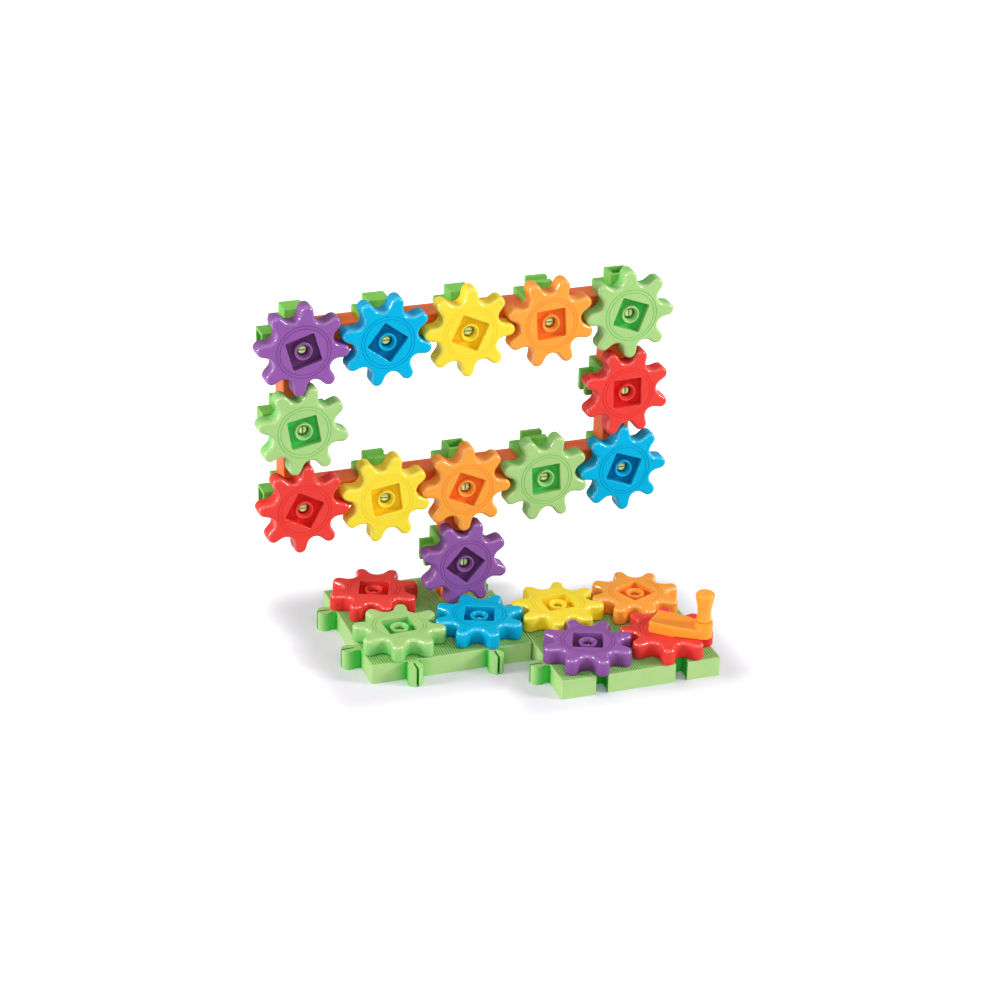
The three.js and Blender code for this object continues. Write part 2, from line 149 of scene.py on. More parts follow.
class ConnectorSizes(bpy.types.PropertyGroup):
    hub_side: size("Hub side", "Side of the square hub", 22.4)
    hub_round: size("Hub rounding", "Rounding of the hub's edges", 0.9)
    well_side: size("Well side", "Width of the pillar well in the back", 16.6)
    well_depth: size("Well depth", "Depth of the pillar well", 7.6)
    well_corner: size("Well corner", "Rounding of the well's corners", 0.7)
    collar_radius: size("Collar radius", "Radius of the collar under the gear", 6.2)
    collar_height: size("Collar height", "Height of the collar above the hub", 1.6)
    gear_gap: size("Gear gap", "Room between the collar and the gear", 0.4)
    arm_side: size("Arm side", "Width of the arms that go into pillars", 12.6)
    arm_reach: size("Arm reach", "How far an arm reaches out of the hub", 8)
    arm_round: size("Arm rounding", "Rounding of the arms' edges", 0.6)
    cup_wall: size("Cup wall", "Wall of a hollow arm", 1.6)
    cup_floor: size("Cup floor", "Floor of a hollow arm", 1.2)
    fork_gap: size("Fork gap", "Gap between the two prongs of the fork", 5.6)
    dimple: size("Dimple", "Radius of the dimple in the closed arm's end", 0.9)


class PillarSizes(bpy.types.PropertyGroup):
    side: size("Side", "Width of the square tube", 16)
    wall: size("Wall", "Wall of the tube", 1.4)
    edge_round: size("Edge rounding", "Rounding of the long outer edges", 0.9)
    bore_round: size("Bore rounding", "Rounding of the long inner edges", 0.4)
    end_round: size("End rounding", "Rounding of the rims", 0.25)


class PlateSizes(bpy.types.PropertyGroup):
    side: size("Side", "Side of a base plate", 95.5)
    thickness: size("Thickness", "From the ground to the top", 11.5)
    pitch: size("Pitch", "Distance between two neighbouring gears", 48)
    corner_round: size("Corner rounding", "Rounding of the upright corners", 0.8)
    edge_round: size("Edge rounding", "Rounding of the top edges", 0.35)
    skin: size("Skin", "Thickness of the top", 2.4)
    wall: size("Wall", "Thickness of the outer walls", 2.4)
    rib: size("Rib", "Thickness of the ribs underneath", 1.8)
    well_side: size("Well side", "Width of a pillar well", 16.6)
    well_floor: size("Well floor", "Height of a well's floor", 3.9)
    well_wall: size("Well wall", "Wall around a well", 1.8)
    gear_gap: size("Gear gap", "Room between the plate and a gear", 0.4)
    rim: size("Plain rim", "Width of the plain rim around the waffle", 1.5)
    margin: size("Plain margin", "Width of the plain strip around wells and slots", 1.1)
    groove: size("Groove", "Width of a waffle groove at the top", 0.56)
    groove_depth: size("Groove depth", "Depth of the waffle", 0.38)
    cells: bpy.props.IntProperty(
        name="Waffle cells", description="Waffle cells along one side", default=62, min=2
    )
    groove_taper: bpy.props.FloatProperty(
        name="Groove taper",
        description="Width of a groove's floor as a part of its width at the top",
        default=0.45,
        min=0.1,
        max=1,
        subtype="FACTOR",
    )


class JointSizes(bpy.types.PropertyGroup):
    head_width: size("Head width", "Width of a tab's head", 8.8)
    head_length: size("Head length", "Length of a tab's head", 7.4)
    neck_width: size("Neck width", "Width of a tab's neck", 6.6)
    neck_length: size("Neck length", "Length of a tab's neck", 3.2)
    slit: size("Slit", "Width of the slit that splits the head", 1.2)
    tab_round: size("Tab rounding", "Rounding of the tab's edges", 0.35)
    room: size("Room", "Room around a tab in its slot", 0.6)
    plate_gap: size("Plate gap", "Gap between two joined plates", 0.5)


class CrankSizes(bpy.types.PropertyGroup):
    thickness: size("Arm thickness", "Thickness of the crank arm", 5.8)
    reach: size("Reach", "From the gear's axis to the knob's axis", 22)
    taper_start: size("Taper start", "Where the arm starts to narrow", 10)
    plug_side: size("Plug side", "Width of the square plug below the arm", 16.6)
    plug_depth: size("Plug depth", "Depth of the plug in the gear's socket", 4)
    plug_corner: size("Plug corner", "Rounding of the plug's corners", 1.4)
    edge_round: size("Edge rounding", "Rounding of the arm's edges", 0.9)
    hub_room: size("Hub room", "Radius of the hollow over the gear's hub", 5.6)
    hub_room_height: size("Hub room height", "Height of that hollow above the underside", 0.4)
    boss_radius: size("Boss radius", "Radius of the boss under the knob", 5.2)
    boss_height: size("Boss height", "Height of the boss above the arm", 3.8)
    collar_groove: size("Collar groove", "Depth of the line around the boss", 0.35)
    spindle_radius: size("Spindle radius", "Radius of the knob's spindle", 2.2)
    spindle_length: size("Spindle length", "Length of the spindle above the boss", 12)
    knob_height: size("Knob height", "Height of the knob", 17.6)
    knob_foot: size("Knob foot", "Radius of the knob's foot", 4.3)
    knob_waist: size("Knob waist", "Radius of the knob's waist", 3.9)
    knob_top: size("Knob top", "Largest radius of the knob", 5.5)
    knob_crown: size("Knob crown", "Rounding of the knob's top", 1.4)
    knob_dimple: size("Knob dimple", "Radius of the dimple on the knob", 0.8)
    knob_bore: size("Knob bore", "Radius of the hole for the spindle", 2.5)
    knob_bore_depth: size("Knob bore depth", "Depth of that hole", 12.4)


class Colours(bpy.types.PropertyGroup):
    gear_red: colour("Red gears", "Colour of the red gears", 0.78, 0.055, 0.043)
    gear_green: colour("Green gears", "Colour of the pale green gears", 0.375, 0.61, 0.215)
    gear_blue: colour("Blue gears", "Colour of the blue gears", 0.0, 0.43, 0.70)
    gear_yellow: colour("Yellow gears", "Colour of the yellow gears", 0.87, 0.69, 0.048)
    gear_orange: colour("Orange gears", "Colour of the orange gears", 0.89, 0.355, 0.05)
    gear_purple: colour("Purple gears", "Colour of the purple gears", 0.28, 0.10, 0.365)
    plate_green: colour("Plates", "Colour of the base plates", 0.41, 0.63, 0.24)
    connector_green: colour("Connectors", "Colour of the connectors", 0.19, 0.52, 0.08)
    pillar_orange: colour("Pillars", "Colour of the pillars", 0.97, 0.175, 0.035)
    crank_orange: colour("Crank", "Colour of the crank arm and knob", 0.97, 0.365, 0.035)
    floor: colour("Floor", "Colour of the pale floor", 0.76, 0.75, 0.82)


# Painted shade colours, darker and more saturated, for where shade falls in sockets, slots, wells and grooves, and the
# pale colour of the pins' tips.
class PaintedShadeAndTipColours(bpy.types.PropertyGroup):
    gear_red: colour("In red gears", "Painted shade in a red gear's socket, back, rings and roots", 0.74, 0.020, 0.018)
    gear_green: colour("In green gears", "Painted shade in a green gear's socket, back, rings and roots", 0.06, 0.52, 0.09)
    gear_blue: colour("In blue gears", "Painted shade in a blue gear's socket, back, rings and roots", 0.0, 0.19, 0.42)
    gear_yellow: colour("In yellow gears", "Painted shade in a yellow gear's socket, back, rings and roots", 0.92, 0.60, 0.012)
    gear_orange: colour("In orange gears", "Painted shade in an orange gear's socket, back, rings and roots", 0.92, 0.20, 0.026)
    gear_purple: colour("In purple gears", "Painted shade in a purple gear's socket, back, rings and roots", 0.13, 0.042, 0.14)
    plate_green: colour("In plates", "Painted shade in a plate's slots, wells, waffle and by its tabs", 0.02, 0.50, 0.045)
    connector_green: colour("In connectors", "Painted shade in a connector's well, cups and fork", 0.035, 0.30, 0.03)
    pillar_orange: colour("In pillars", "Painted shade inside a pillar", 0.66, 0.07, 0.015)
    crank_orange: colour("In the crank", "Painted shade on the crank arm's top face", 0.86, 0.20, 0.012)
    pin_tip: colour("Pin tips", "Pale colour on the tips of the snap pins", 0.72, 0.86, 0.36)


class StageSettings(bpy.types.PropertyGroup):
    camera_place: bpy.props.FloatVectorProperty(
        name="Camera place",
        description="Where the camera stands",
        default=(-0.4934, -1.4131, 0.7910),
        subtype="TRANSLATION",
        unit="LENGTH",
    )
    camera_azimuth: bpy.props.FloatProperty(
        name="Camera azimuth",
        description="How far the camera stands round to the left of the front",
        default=math.radians(20.27),
        subtype="ANGLE",
    )
    camera_elevation: bpy.props.FloatProperty(
        name="Camera elevation",
        description="How far the camera looks down",
        default=math.radians(25.65),
        subtype="ANGLE",
    )
    camera_roll: bpy.props.FloatProperty(
        name="Camera roll",
        description="How far the camera is turned about its own line of sight",
        default=math.radians(1.53),
        subtype="ANGLE",
    )
    lens: bpy.props.FloatProperty(
        name="Lens", description="Focal length on a 36 mm sensor", default=103.34, subtype="DISTANCE_CAMERA"
    )
    left_power: bpy.props.FloatProperty(
        name="Left light", description="Power of the light on the left", default=56, unit="POWER"
    )
    right_power: bpy.props.FloatProperty(
        name="Right light", description="Power of the light on the right", default=56, unit="POWER"
    )
    front_power: bpy.props.FloatProperty(
        name="Front light", description="Power of the wide light by the camera", default=36, unit="POWER"
    )
    sky: bpy.props.FloatProperty(
        name="Sky", description="Brightness of the surrounding white room", default=0.43, min=0
    )


# Selecting and shaping

def clear_selection():
    if bpy.context.mode != "OBJECT":
        bpy.ops.object.mode_set(mode="OBJECT")
    bpy.ops.object.select_all(action="DESELECT")


def only(piece):
    clear_selection()
    piece.select_set(True)
    bpy.context.view_layer.objects.active = piece
    return piece


def start_edit(piece):
    only(piece)
    bpy.ops.object.mode_set(mode="EDIT")


def end_edit():
    bpy.ops.object.mode_set(mode="OBJECT")


def pick(kind, test):
    """In edit mode, selects each vertex, edge or face that passes the test."""
    mesh = bpy.context.edit_object.data
    bpy.ops.mesh.select_mode(type=kind)
    bpy.ops.mesh.select_all(action="DESELECT")
    shape = bmesh.from_edit_mesh(mesh)
    found = 0
    for item in {"VERT": shape.verts, "EDGE": shape.edges, "FACE": shape.faces}[kind]:
        if test(item):
            item.select_set(True)
            found += 1
    if not found:
        raise RuntimeError(f"nothing to pick on {mesh.name}")
    shape.select_flush_mode()
    bmesh.update_edit_mesh(mesh)


def all_at(item, axis, place):
    """True where every corner of an edge or face lies at the place along the axis."""
    return all(abs(vertex.co[axis] - place) < SAME for vertex in item.verts)


def runs_along(edge, axis):
    span = edge.verts[1].co - edge.verts[0].co
    return abs(span[axis]) > 0.999 * span.length


def round_edges(piece, test, radius, steps=3):
    start_edit(piece)
    pick("EDGE", test)
    bpy.ops.mesh.bevel(offset=radius, segments=steps, profile=0.5, affect="EDGES", clamp_overlap=True)
    end_edit()
    return piece


def add_block(low, high):
    clear_selection()
    low, high = Vector(low), Vector(high)
    bpy.ops.mesh.primitive_cube_add(size=1, location=(low + high) / 2, scale=high - low)
    bpy.ops.object.transform_apply()
    return bpy.context.object


def add_post(side, low, high, x=0, y=0):
    half = side / 2
    return add_block((x - half, y - half, low), (x + half, y + half, high))


def draw_line(points, closed):
    """Draws a line through the points in edit mode, from one vertex by extruding."""
    clear_selection()
    bpy.ops.mesh.primitive_plane_add(size=OVERRUN, location=points[0])
    bpy.ops.object.transform_apply()
    piece = bpy.context.object
    start_edit(piece)
    bpy.ops.mesh.select_mode(type="VERT")
    bpy.ops.mesh.select_all(action="SELECT")
    bpy.ops.mesh.merge(type="CENTER")
    for start, end in zip(points, points[1:]):
        step = Vector(end) - Vector(start)
        bpy.ops.mesh.extrude_vertices_move(TRANSFORM_OT_translate={"value": step})
    if closed:
        ends = (Vector(points[0]), Vector(points[-1]))
        pick("VERT", lambda vertex: any((vertex.co - end).length < SAME for end in ends))
        bpy.ops.mesh.edge_face_add()
    return piece


def add_turned(profile, steps=48, ring=False):
    """A turned shape about Z from (radius, height) points, or a ring from a closed profile."""
    piece = draw_line([(radius, 0, height) for radius, height in profile], ring)
    bpy.ops.mesh.select_all(action="SELECT")
    bpy.ops.mesh.spin(steps=steps, angle=math.tau, center=(0, 0, 0), axis=(0, 0, 1))
    bpy.ops.mesh.select_all(action="SELECT")
    bpy.ops.mesh.remove_doubles(threshold=SAME / 4)
    bpy.ops.mesh.normals_make_consistent(inside=False)
    end_edit()
    return piece


def add_drum(radius, low, high, steps=48):
    return add_turned([(0, low), (radius, low), (radius, high), (0, high)], steps)


def add_prism(outline, low, high):
    piece = draw_line([(x, y, low) for x, y in outline], True)
    bpy.ops.mesh.select_all(action="SELECT")
    bpy.ops.mesh.edge_face_add()
    bpy.ops.mesh.extrude_region_move(TRANSFORM_OT_translate={"value": (0, 0, high - low)})
    bpy.ops.mesh.select_all(action="SELECT")
    bpy.ops.mesh.normals_make_consistent(inside=False)
    end_edit()
    return piece


def turned_by(piece, degrees, axis="Z"):
    only(piece)
    piece.rotation_euler["XYZ".index(axis)] = math.radians(degrees)
    bpy.ops.object.transform_apply()
    return piece


def moved_by(piece, x=0, y=0, z=0):
    only(piece)
    piece.location = (x, y, z)
    bpy.ops.object.transform_apply()
    return piece


def twin(piece):
    only(piece)
    bpy.ops.object.duplicate()
    return bpy.context.object


def joined(pieces):
    only(pieces[0])
    for piece in pieces[1:]:
        piece.select_set(True)
    bpy.ops.object.join()
    return pieces[0]


def combine(piece, tool, operation):
    only(piece)
    bpy.ops.object.modifier_add(type="BOOLEAN")
    modifier = piece.modifiers[-1]
    modifier.operation = operation
    modifier.solver = "EXACT"
    modifier.object = tool
    bpy.ops.object.modifier_apply(modifier=modifier.name)
    bpy.data.objects.remove(tool)
    if not piece.data.polygons:
        raise RuntimeError(f"{piece.name} was cut away")
    return piece


def cut(piece, tool):
    return combine(piece, tool, "DIFFERENCE")


def fuse(piece, tool):
    return combine(piece, tool, "UNION")


def smooth(piece, degrees=32):
    only(piece)
    bpy.ops.object.shade_smooth_by_angle(angle=math.radians(degrees))
    bpy.ops.object.modifier_add(type="WEIGHTED_NORMAL")
    modifier = piece.modifiers[-1]
    modifier.keep_sharp = True
    bpy.ops.object.modifier_apply(modifier=modifier.name)
    return piece


def mark_depth(piece, depth_at, name="recess"):
    """Keeps on each vertex how deep it lies in a recess, from 0 outside to 1, for the materials to paint as shade."""
    marks = piece.data.attributes.new(name, "FLOAT", "POINT")
    for vertex in piece.data.vertices:
        marks.data[vertex.index].value = min(1, max(0, depth_at(vertex.co)))
    return piece


def mark_face_shade(piece, shade_of):
    """Keeps on each face how much painted shade its colour gets, right up to the edge of the face."""
    marks = piece.data.attributes.new("inner_wall", "FLOAT", "FACE")
    for face in piece.data.polygons:
        marks.data[face.index].value = shade_of(face.center)
    return piece


def mark_gloss(piece, gloss):
    """Gives a whole piece the same share of the clear gloss that the gears' edges have."""
    return mark_depth(piece, lambda spot: gloss, "polish")


def arc(radius, rise, centre_radius, centre_height, start, end, steps=3):
    """Points of a quarter round in a turned profile, from one angle to another in degrees."""
    points = []
    for step in range(steps + 1):
        angle = math.radians(start + (end - start) * step / steps)
        points.append((centre_radius + radius * math.cos(angle), centre_height + rise * math.sin(angle)))
    return points


# Materials

def moulded_plastic_group():
    """The surface of moulded plastic: flow marks, painted shade and pale pin tips in the colour, handling marks in the
    gloss.
    """
    group = bpy.data.node_groups.get("Moulded plastic")
    if group:
        return group
    group = bpy.data.node_groups.new("Moulded plastic", "ShaderNodeTree")
    sockets = group.interface
    sockets.new_socket(name="Colour", in_out="INPUT", socket_type="NodeSocketColor")
    sockets.new_socket(name="Flow mark colour", in_out="INPUT", socket_type="NodeSocketColor")
    sockets.new_socket(name="Deep colour", in_out="INPUT", socket_type="NodeSocketColor")
    sockets.new_socket(name="Pale colour", in_out="INPUT", socket_type="NodeSocketColor")
    for name in ("Flow marks", "Gloss roughness", "Handling marks", "Grain scale", "Grain depth"):
        sockets.new_socket(name=name, in_out="INPUT", socket_type="NodeSocketFloat")
    sockets.new_socket(name="Colour", in_out="OUTPUT", socket_type="NodeSocketColor")
    sockets.new_socket(name="Roughness", in_out="OUTPUT", socket_type="NodeSocketFloat")
    sockets.new_socket(name="Polish", in_out="OUTPUT", socket_type="NodeSocketFloat")
    sockets.new_socket(name="Normal", in_out="OUTPUT", socket_type="NodeSocketVector")

    nodes = group.nodes
    link = group.links.new
    given = nodes.new("NodeGroupInput")
    result = nodes.new("NodeGroupOutput")
    place = nodes.new("ShaderNodeTexCoord")

    flow = nodes.new("ShaderNodeTexNoise")
    flow.inputs["Scale"].default_value = 38
    flow.inputs["Detail"].default_value = 3
    flow.inputs["Distortion"].default_value = 1.6
    link(place.outputs["Object"], flow.inputs["Vector"])
    flow_range = nodes.new("ShaderNodeMapRange")
    flow_range.inputs["From Min"].default_value = 0.35
    flow_range.inputs["From Max"].default_value = 0.7
    link(flow.outputs["Fac"], flow_range.inputs["Value"])
    flow_share = nodes.new("ShaderNodeMath")
    flow_share.operation = "MULTIPLY"
    link(flow_range.outputs["Result"], flow_share.inputs[0])
    link(given.outputs["Flow marks"], flow_share.inputs[1])
    tint = nodes.new("ShaderNodeMix")
    tint.data_type = "RGBA"
    link(flow_share.outputs["Value"], tint.inputs["Factor"])
    link(given.outputs["Colour"], tint.inputs["A"])
    link(given.outputs["Flow mark colour"], tint.inputs["B"])
    shades = tint.outputs["Result"]
    # Painted shade: the vertex and face marks mix in the shade colour where shade falls in sockets, slots, wells,
    # grooves and between teeth; the pale mark lightens the pins' tips.
    for mark, shade in (("recess", "Deep colour"), ("inner_wall", "Deep colour"), ("pale", "Pale colour")):
        depth = nodes.new("ShaderNodeAttribute")
        depth.attribute_name = mark
        layer = nodes.new("ShaderNodeMix")
        layer.data_type = "RGBA"
        link(depth.outputs["Fac"], layer.inputs["Factor"])
        link(shades, layer.inputs["A"])
        link(given.outputs[shade], layer.inputs["B"])
        shades = layer.outputs["Result"]
    link(shades, result.inputs["Colour"])

    marks = nodes.new("ShaderNodeTexNoise")
    marks.inputs["Scale"].default_value = 170
    marks.inputs["Detail"].default_value = 5
    marks.inputs["Roughness"].default_value = 0.65
    link(place.outputs["Object"], marks.inputs["Vector"])
    marks_range = nodes.new("ShaderNodeMapRange")
    marks_range.inputs["From Min"].default_value = 0.42
    marks_range.inputs["From Max"].default_value = 0.72
    link(marks.outputs["Fac"], marks_range.inputs["Value"])
    gloss = nodes.new("ShaderNodeMath")
    gloss.operation = "MULTIPLY_ADD"
    link(marks_range.outputs["Result"], gloss.inputs[0])
    link(given.outputs["Handling marks"], gloss.inputs[1])
    link(given.outputs["Gloss roughness"], gloss.inputs[2])
    link(gloss.outputs["Value"], result.inputs["Roughness"])

    edges = nodes.new("ShaderNodeAttribute")
    edges.attribute_name = "polish"
    worn = nodes.new("ShaderNodeMath")
    worn.operation = "MULTIPLY_ADD"
    worn.inputs[1].default_value = -0.15
    link(marks_range.outputs["Result"], worn.inputs[0])
    link(edges.outputs["Fac"], worn.inputs[2])
    polish = nodes.new("ShaderNodeClamp")
    link(worn.outputs["Value"], polish.inputs["Value"])
    link(polish.outputs["Result"], result.inputs["Polish"])

    grain = nodes.new("ShaderNodeTexNoise")
    grain.inputs["Detail"].default_value = 2
    link(place.outputs["Object"], grain.inputs["Vector"])
    link(given.outputs["Grain scale"], grain.inputs["Scale"])
    bump = nodes.new("ShaderNodeBump")
    bump.inputs["Distance"].default_value = 0.1 * MM
    link(grain.outputs["Fac"], bump.inputs["Height"])
    link(given.outputs["Grain depth"], bump.inputs["Strength"])
    link(bump.outputs["Normal"], result.inputs["Normal"])
    return group


FINISHES = {
    "plate_green": {"Gloss roughness": 0.52, "Handling marks": 0.12, "Grain scale": 2600, "Grain depth": 0.16},
    "pillar_orange": {"Gloss roughness": 0.46, "Handling marks": 0.12, "Grain scale": 1500, "Grain depth": 0.08},
}
USUAL_FINISH = {"Gloss roughness": 0.42, "Handling marks": 0.12, "Grain scale": 1100, "Grain depth": 0.04}
FLOW_MARKS = 0.35


def plastic(slot):
    """The material of one of the record's slots."""
    name = f"Plastic {slot.replace('_', ' ')}"
    if name in bpy.data.materials:
        return bpy.data.materials[name]
    base = getattr(bpy.context.scene.toy_colours, slot)
    deep = bpy.context.scene.toy_deep_colours
    material = bpy.data.materials.new(name)
    material.use_nodes = True
    nodes = material.node_tree.nodes
    link = material.node_tree.links.new
    shader = nodes["Principled BSDF"]
    surface = nodes.new("ShaderNodeGroup")
    surface.node_tree = moulded_plastic_group()
    surface.inputs["Colour"].default_value = base
    surface.inputs["Flow mark colour"].default_value = [part ** 1.12 * 0.93 for part in base[:3]] + [1]
    # The painted shade colour goes where shade falls in recesses; the pale colour goes on the pins' tips.
    surface.inputs["Deep colour"].default_value = getattr(deep, slot)
    surface.inputs["Pale colour"].default_value = deep.pin_tip
    surface.inputs["Flow marks"].default_value = FLOW_MARKS
    for socket, value in FINISHES.get(slot, USUAL_FINISH).items():
        surface.inputs[socket].default_value = value
    link(surface.outputs["Colour"], shader.inputs["Base Color"])
    link(surface.outputs["Roughness"], shader.inputs["Roughness"])
    link(surface.outputs["Polish"], shader.inputs["Coat Weight"])
    link(surface.outputs["Normal"], shader.inputs["Normal"])
    shader.inputs["IOR"].default_value = 1.5
    shader.inputs["Specular IOR Level"].default_value = 0.05
    shader.inputs["Coat Roughness"].default_value = 0.13
    shader.inputs["Coat IOR"].default_value = 1.75
    return material


# Placing

SLOTS = {part["node"]: part["material_slot"] for part in frame["record"]["subparts"]}


def nodes_named(start):
    return sorted(name for name in frame["nodes"] if name.startswith(start))


def dress(piece, node):
    """Names a finished piece after its CAD node, and gives it the node's body and material."""
    piece.name = f"{node}_moulded"
    piece.data.name = piece.name
    piece.data.materials.clear()
    piece.data.materials.append(plastic(SLOTS[node]))
    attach(piece, frame["nodes"][node]["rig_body"])
    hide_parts(node)


def place_copy(model, node, seat):
    piece = twin(model)
    piece.matrix_world = seat
    bpy.ops.object.transform_apply()
    dress(piece, node)


def middle_of(node):
    low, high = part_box(node)
    return (Vector(low) + Vector(high)) / 2


# Gears

def tooth_corners(gear):
    """Where the flanks would meet the tip and the root if the teeth had sharp corners."""
    half = math.pi / gear.teeth
    tip_centre = Vector((gear.tip_radius - gear.tip_round, 0))
    to_root = Vector((math.cos(half), math.sin(half)))
    along_root = Vector((-to_root.y, to_root.x))
    root_centre = to_root * (gear.root_radius + gear.root_round)
    line = root_centre - tip_centre
    swing = math.acos(min(1, (gear.tip_round + gear.root_round) / line.length))
    flank = math.atan2(line.y, line.x) - swing
    normal = Vector((math.cos(flank), math.sin(flank)))
    tip_slide = gear.tip_round * (1 - normal.x) / normal.y
    root_foot = to_root * gear.root_radius - tip_centre
    root_slide = (gear.tip_round - root_foot.dot(normal)) / along_root.dot(normal)
    tip = Vector((gear.tip_radius, tip_slide))
    root = to_root * gear.root_radius + along_root * root_slide
    return tip, tip_slide, root, abs(root_slide)


def gear_blank(gear):
    """A disc whose rim is drawn in and out to the teeth, then rounded at tips and roots."""
    tip, tip_slide, root, root_slide = tooth_corners(gear)
    clear_selection()
    bpy.ops.mesh.primitive_circle_add(
        vertices=4 * gear.teeth, radius=gear.tip_radius, fill_type="NGON", location=(0, 0, 0)
    )
    blank = bpy.context.object
    step = math.tau / (4 * gear.teeth)
    tooth_turn = 4 * step
    centre = (0, 0, 0)
    start_edit(blank)
    bpy.ops.mesh.select_all(action="SELECT")
    bpy.ops.transform.rotate(value=step / 2, orient_axis="Z", center_override=centre)

    def off_tooth(vertex):
        angle = math.atan2(vertex.co.y, vertex.co.x)
        return (angle + tooth_turn / 2) % tooth_turn - tooth_turn / 2

    for corner, rest in ((tip, step / 2), (root, 3 * step / 2)):
        for side in (1, -1):
            pick("VERT", lambda vertex: abs(off_tooth(vertex) - side * rest) < step / 8)
            scale = corner.length / gear.tip_radius
            bpy.ops.transform.resize(value=(scale, scale, 1), center_override=centre)
            swing = side * (math.atan2(corner.y, corner.x) - rest)
            bpy.ops.transform.rotate(value=-swing, orient_axis="Z", center_override=centre)

    split = (tip.length + root.length) / 2
    for slide, outside in ((tip_slide, True), (root_slide, False)):
        slide *= 0.995
        pick("VERT", lambda vertex: (vertex.co.length > split) == outside and is_corner(vertex))
        bpy.ops.mesh.bevel(offset=slide, segments=7, profile=0.5, affect="VERTICES", clamp_overlap=False)
    bpy.ops.mesh.select_all(action="SELECT")
    bpy.ops.mesh.remove_doubles(threshold=0.06 * MM)
    bpy.ops.mesh.extrude_region_move(TRANSFORM_OT_translate={"value": (0, 0, gear.thickness)})
    bpy.ops.mesh.select_all(action="SELECT")
    bpy.ops.mesh.normals_make_consistent(inside=False)
    end_edit()
    round_edges(blank, lambda edge: all_at(edge, 2, gear.thickness), gear.rolled_edge, 5)
    round_edges(blank, lambda edge: all_at(edge, 2, 0), gear.back_edge, 3)
    return blank


def is_corner(vertex):
    """True where two edges of the outline meet at a clear angle."""
    first, second = [edge.other_vert(vertex).co - vertex.co for edge in vertex.link_edges]
    return first.angle(second) < math.radians(170)


def model_gear(gear):
    top = gear.thickness
    floor = top - gear.socket_depth
    piece = gear_blank(gear)

    socket = add_post(gear.socket_side, floor, top + OVERRUN)
    round_edges(socket, lambda edge: runs_along(edge, 2), gear.socket_corner, 4)
    cut(piece, turned_by(socket, 22.5))
    inside = 0.8 * gear.socket_side
    round_edges(
        piece,
        lambda edge: all_at(edge, 2, top) and all(v.co.xy.length < inside for v in edge.verts),
        gear.rim_round,
        3,
    )

    cut(piece, add_drum((gear.bore_radius + gear.hub_radius) / 2, -OVERRUN, top))
    hub_top = top - gear.hub_recess
    small = gear.hub_round
    hub = [(gear.bore_radius, small), (gear.bore_radius + small, 0), (gear.hub_radius, 0)]
    hub += arc(small, small, gear.hub_radius + small, floor + small, 270, 180)
    hub += arc(small, small, gear.hub_radius - small, hub_top - small, 0, 90)
    hub += arc(small, small, gear.mouth_radius + small, hub_top - small, 90, 180)
    throat = hub_top - gear.throat_depth
    hub += [(gear.throat_radius, throat), (gear.throat_radius, throat - small), (gear.bore_radius, throat - 2 * small)]
    fuse(piece, add_turned(hub, ring=True))

    soft = 0.8 * MM
    core = [(gear.core_inner, -OVERRUN), (gear.core_outer, -OVERRUN)]
    core += arc(soft, soft, gear.core_outer - soft, gear.core_depth - soft, 0, 90)
    core += arc(soft, soft, gear.core_inner + soft, gear.core_depth - soft, 90, 180)
    cut(piece, add_turned(core, steps=64, ring=True))
    ribs = []
    for number in range(gear.teeth):
        rib = add_block(
            (gear.core_inner - OVERRUN / 2, -gear.rib / 2, 0.4 * MM),
            (gear.core_outer + OVERRUN / 2, gear.rib / 2, gear.core_depth + OVERRUN / 2),
        )
        ribs.append(turned_by(rib, 360 * number / gear.teeth))
    fuse(piece, joined(ribs))

    for radius in (gear.ring_inner, gear.ring_outer):
        clear_selection()
        bpy.ops.mesh.primitive_torus_add(
            major_radius=radius,
            minor_radius=gear.ring_width,
            major_segments=96,
            minor_segments=10,
            location=(0, 0, top + 0.3 * gear.ring_width),
        )
        bpy.ops.object.transform_apply()
        cut(piece, bpy.context.object)

    reach = 0.72 * gear.socket_side
    start = 0.5 * MM
    face_reach = gear.root_radius - gear.rolled_edge - SAME
    root_reach = gear.root_radius + 0.6 * gear.root_round
    wall_top = top - gear.rolled_edge

    # Painted shade: the socket darkens towards its floor and the hollow back towards its inner end, the engraved rings
    # get half, and the side walls darken towards the back face, most in the roots.
    def depth(spot):
        out = spot.xy.length
        if out < reach and spot.z > gear.core_depth + SAME:
            return max(0, top - start - spot.z) / (gear.socket_depth - start)
        if out < gear.core_outer + SAME and start < spot.z < gear.core_depth + SAME:
            return spot.z / gear.core_depth
        if out < face_reach and wall_top < spot.z < top - SAME:
            return 0.5
        if out > gear.core_outer + SAME and spot.z < wall_top + SAME:
            low = 1 - spot.z / wall_top
            return low if out < root_reach else 0.15 + 0.35 * low
        return 0

    def polish(spot):
        out = spot.xy.length
        if spot.z > top - SAME:
            return 0
        if out < gear.hub_radius + SAME:
            return 0.15 if spot.z > hub_top - small - SAME else 0
        if out < face_reach:
            return 0.5 if out < reach and spot.z > top - gear.rim_round - SAME else 0
        rolled = (top - spot.z) / gear.rolled_edge
        if 0.35 < rolled < 0.8:
            return 1
        return 0.7 if 0.15 < rolled < 0.35 else 0.08

    mark_depth(smooth(piece), depth)
    return mark_depth(piece, polish, "polish")


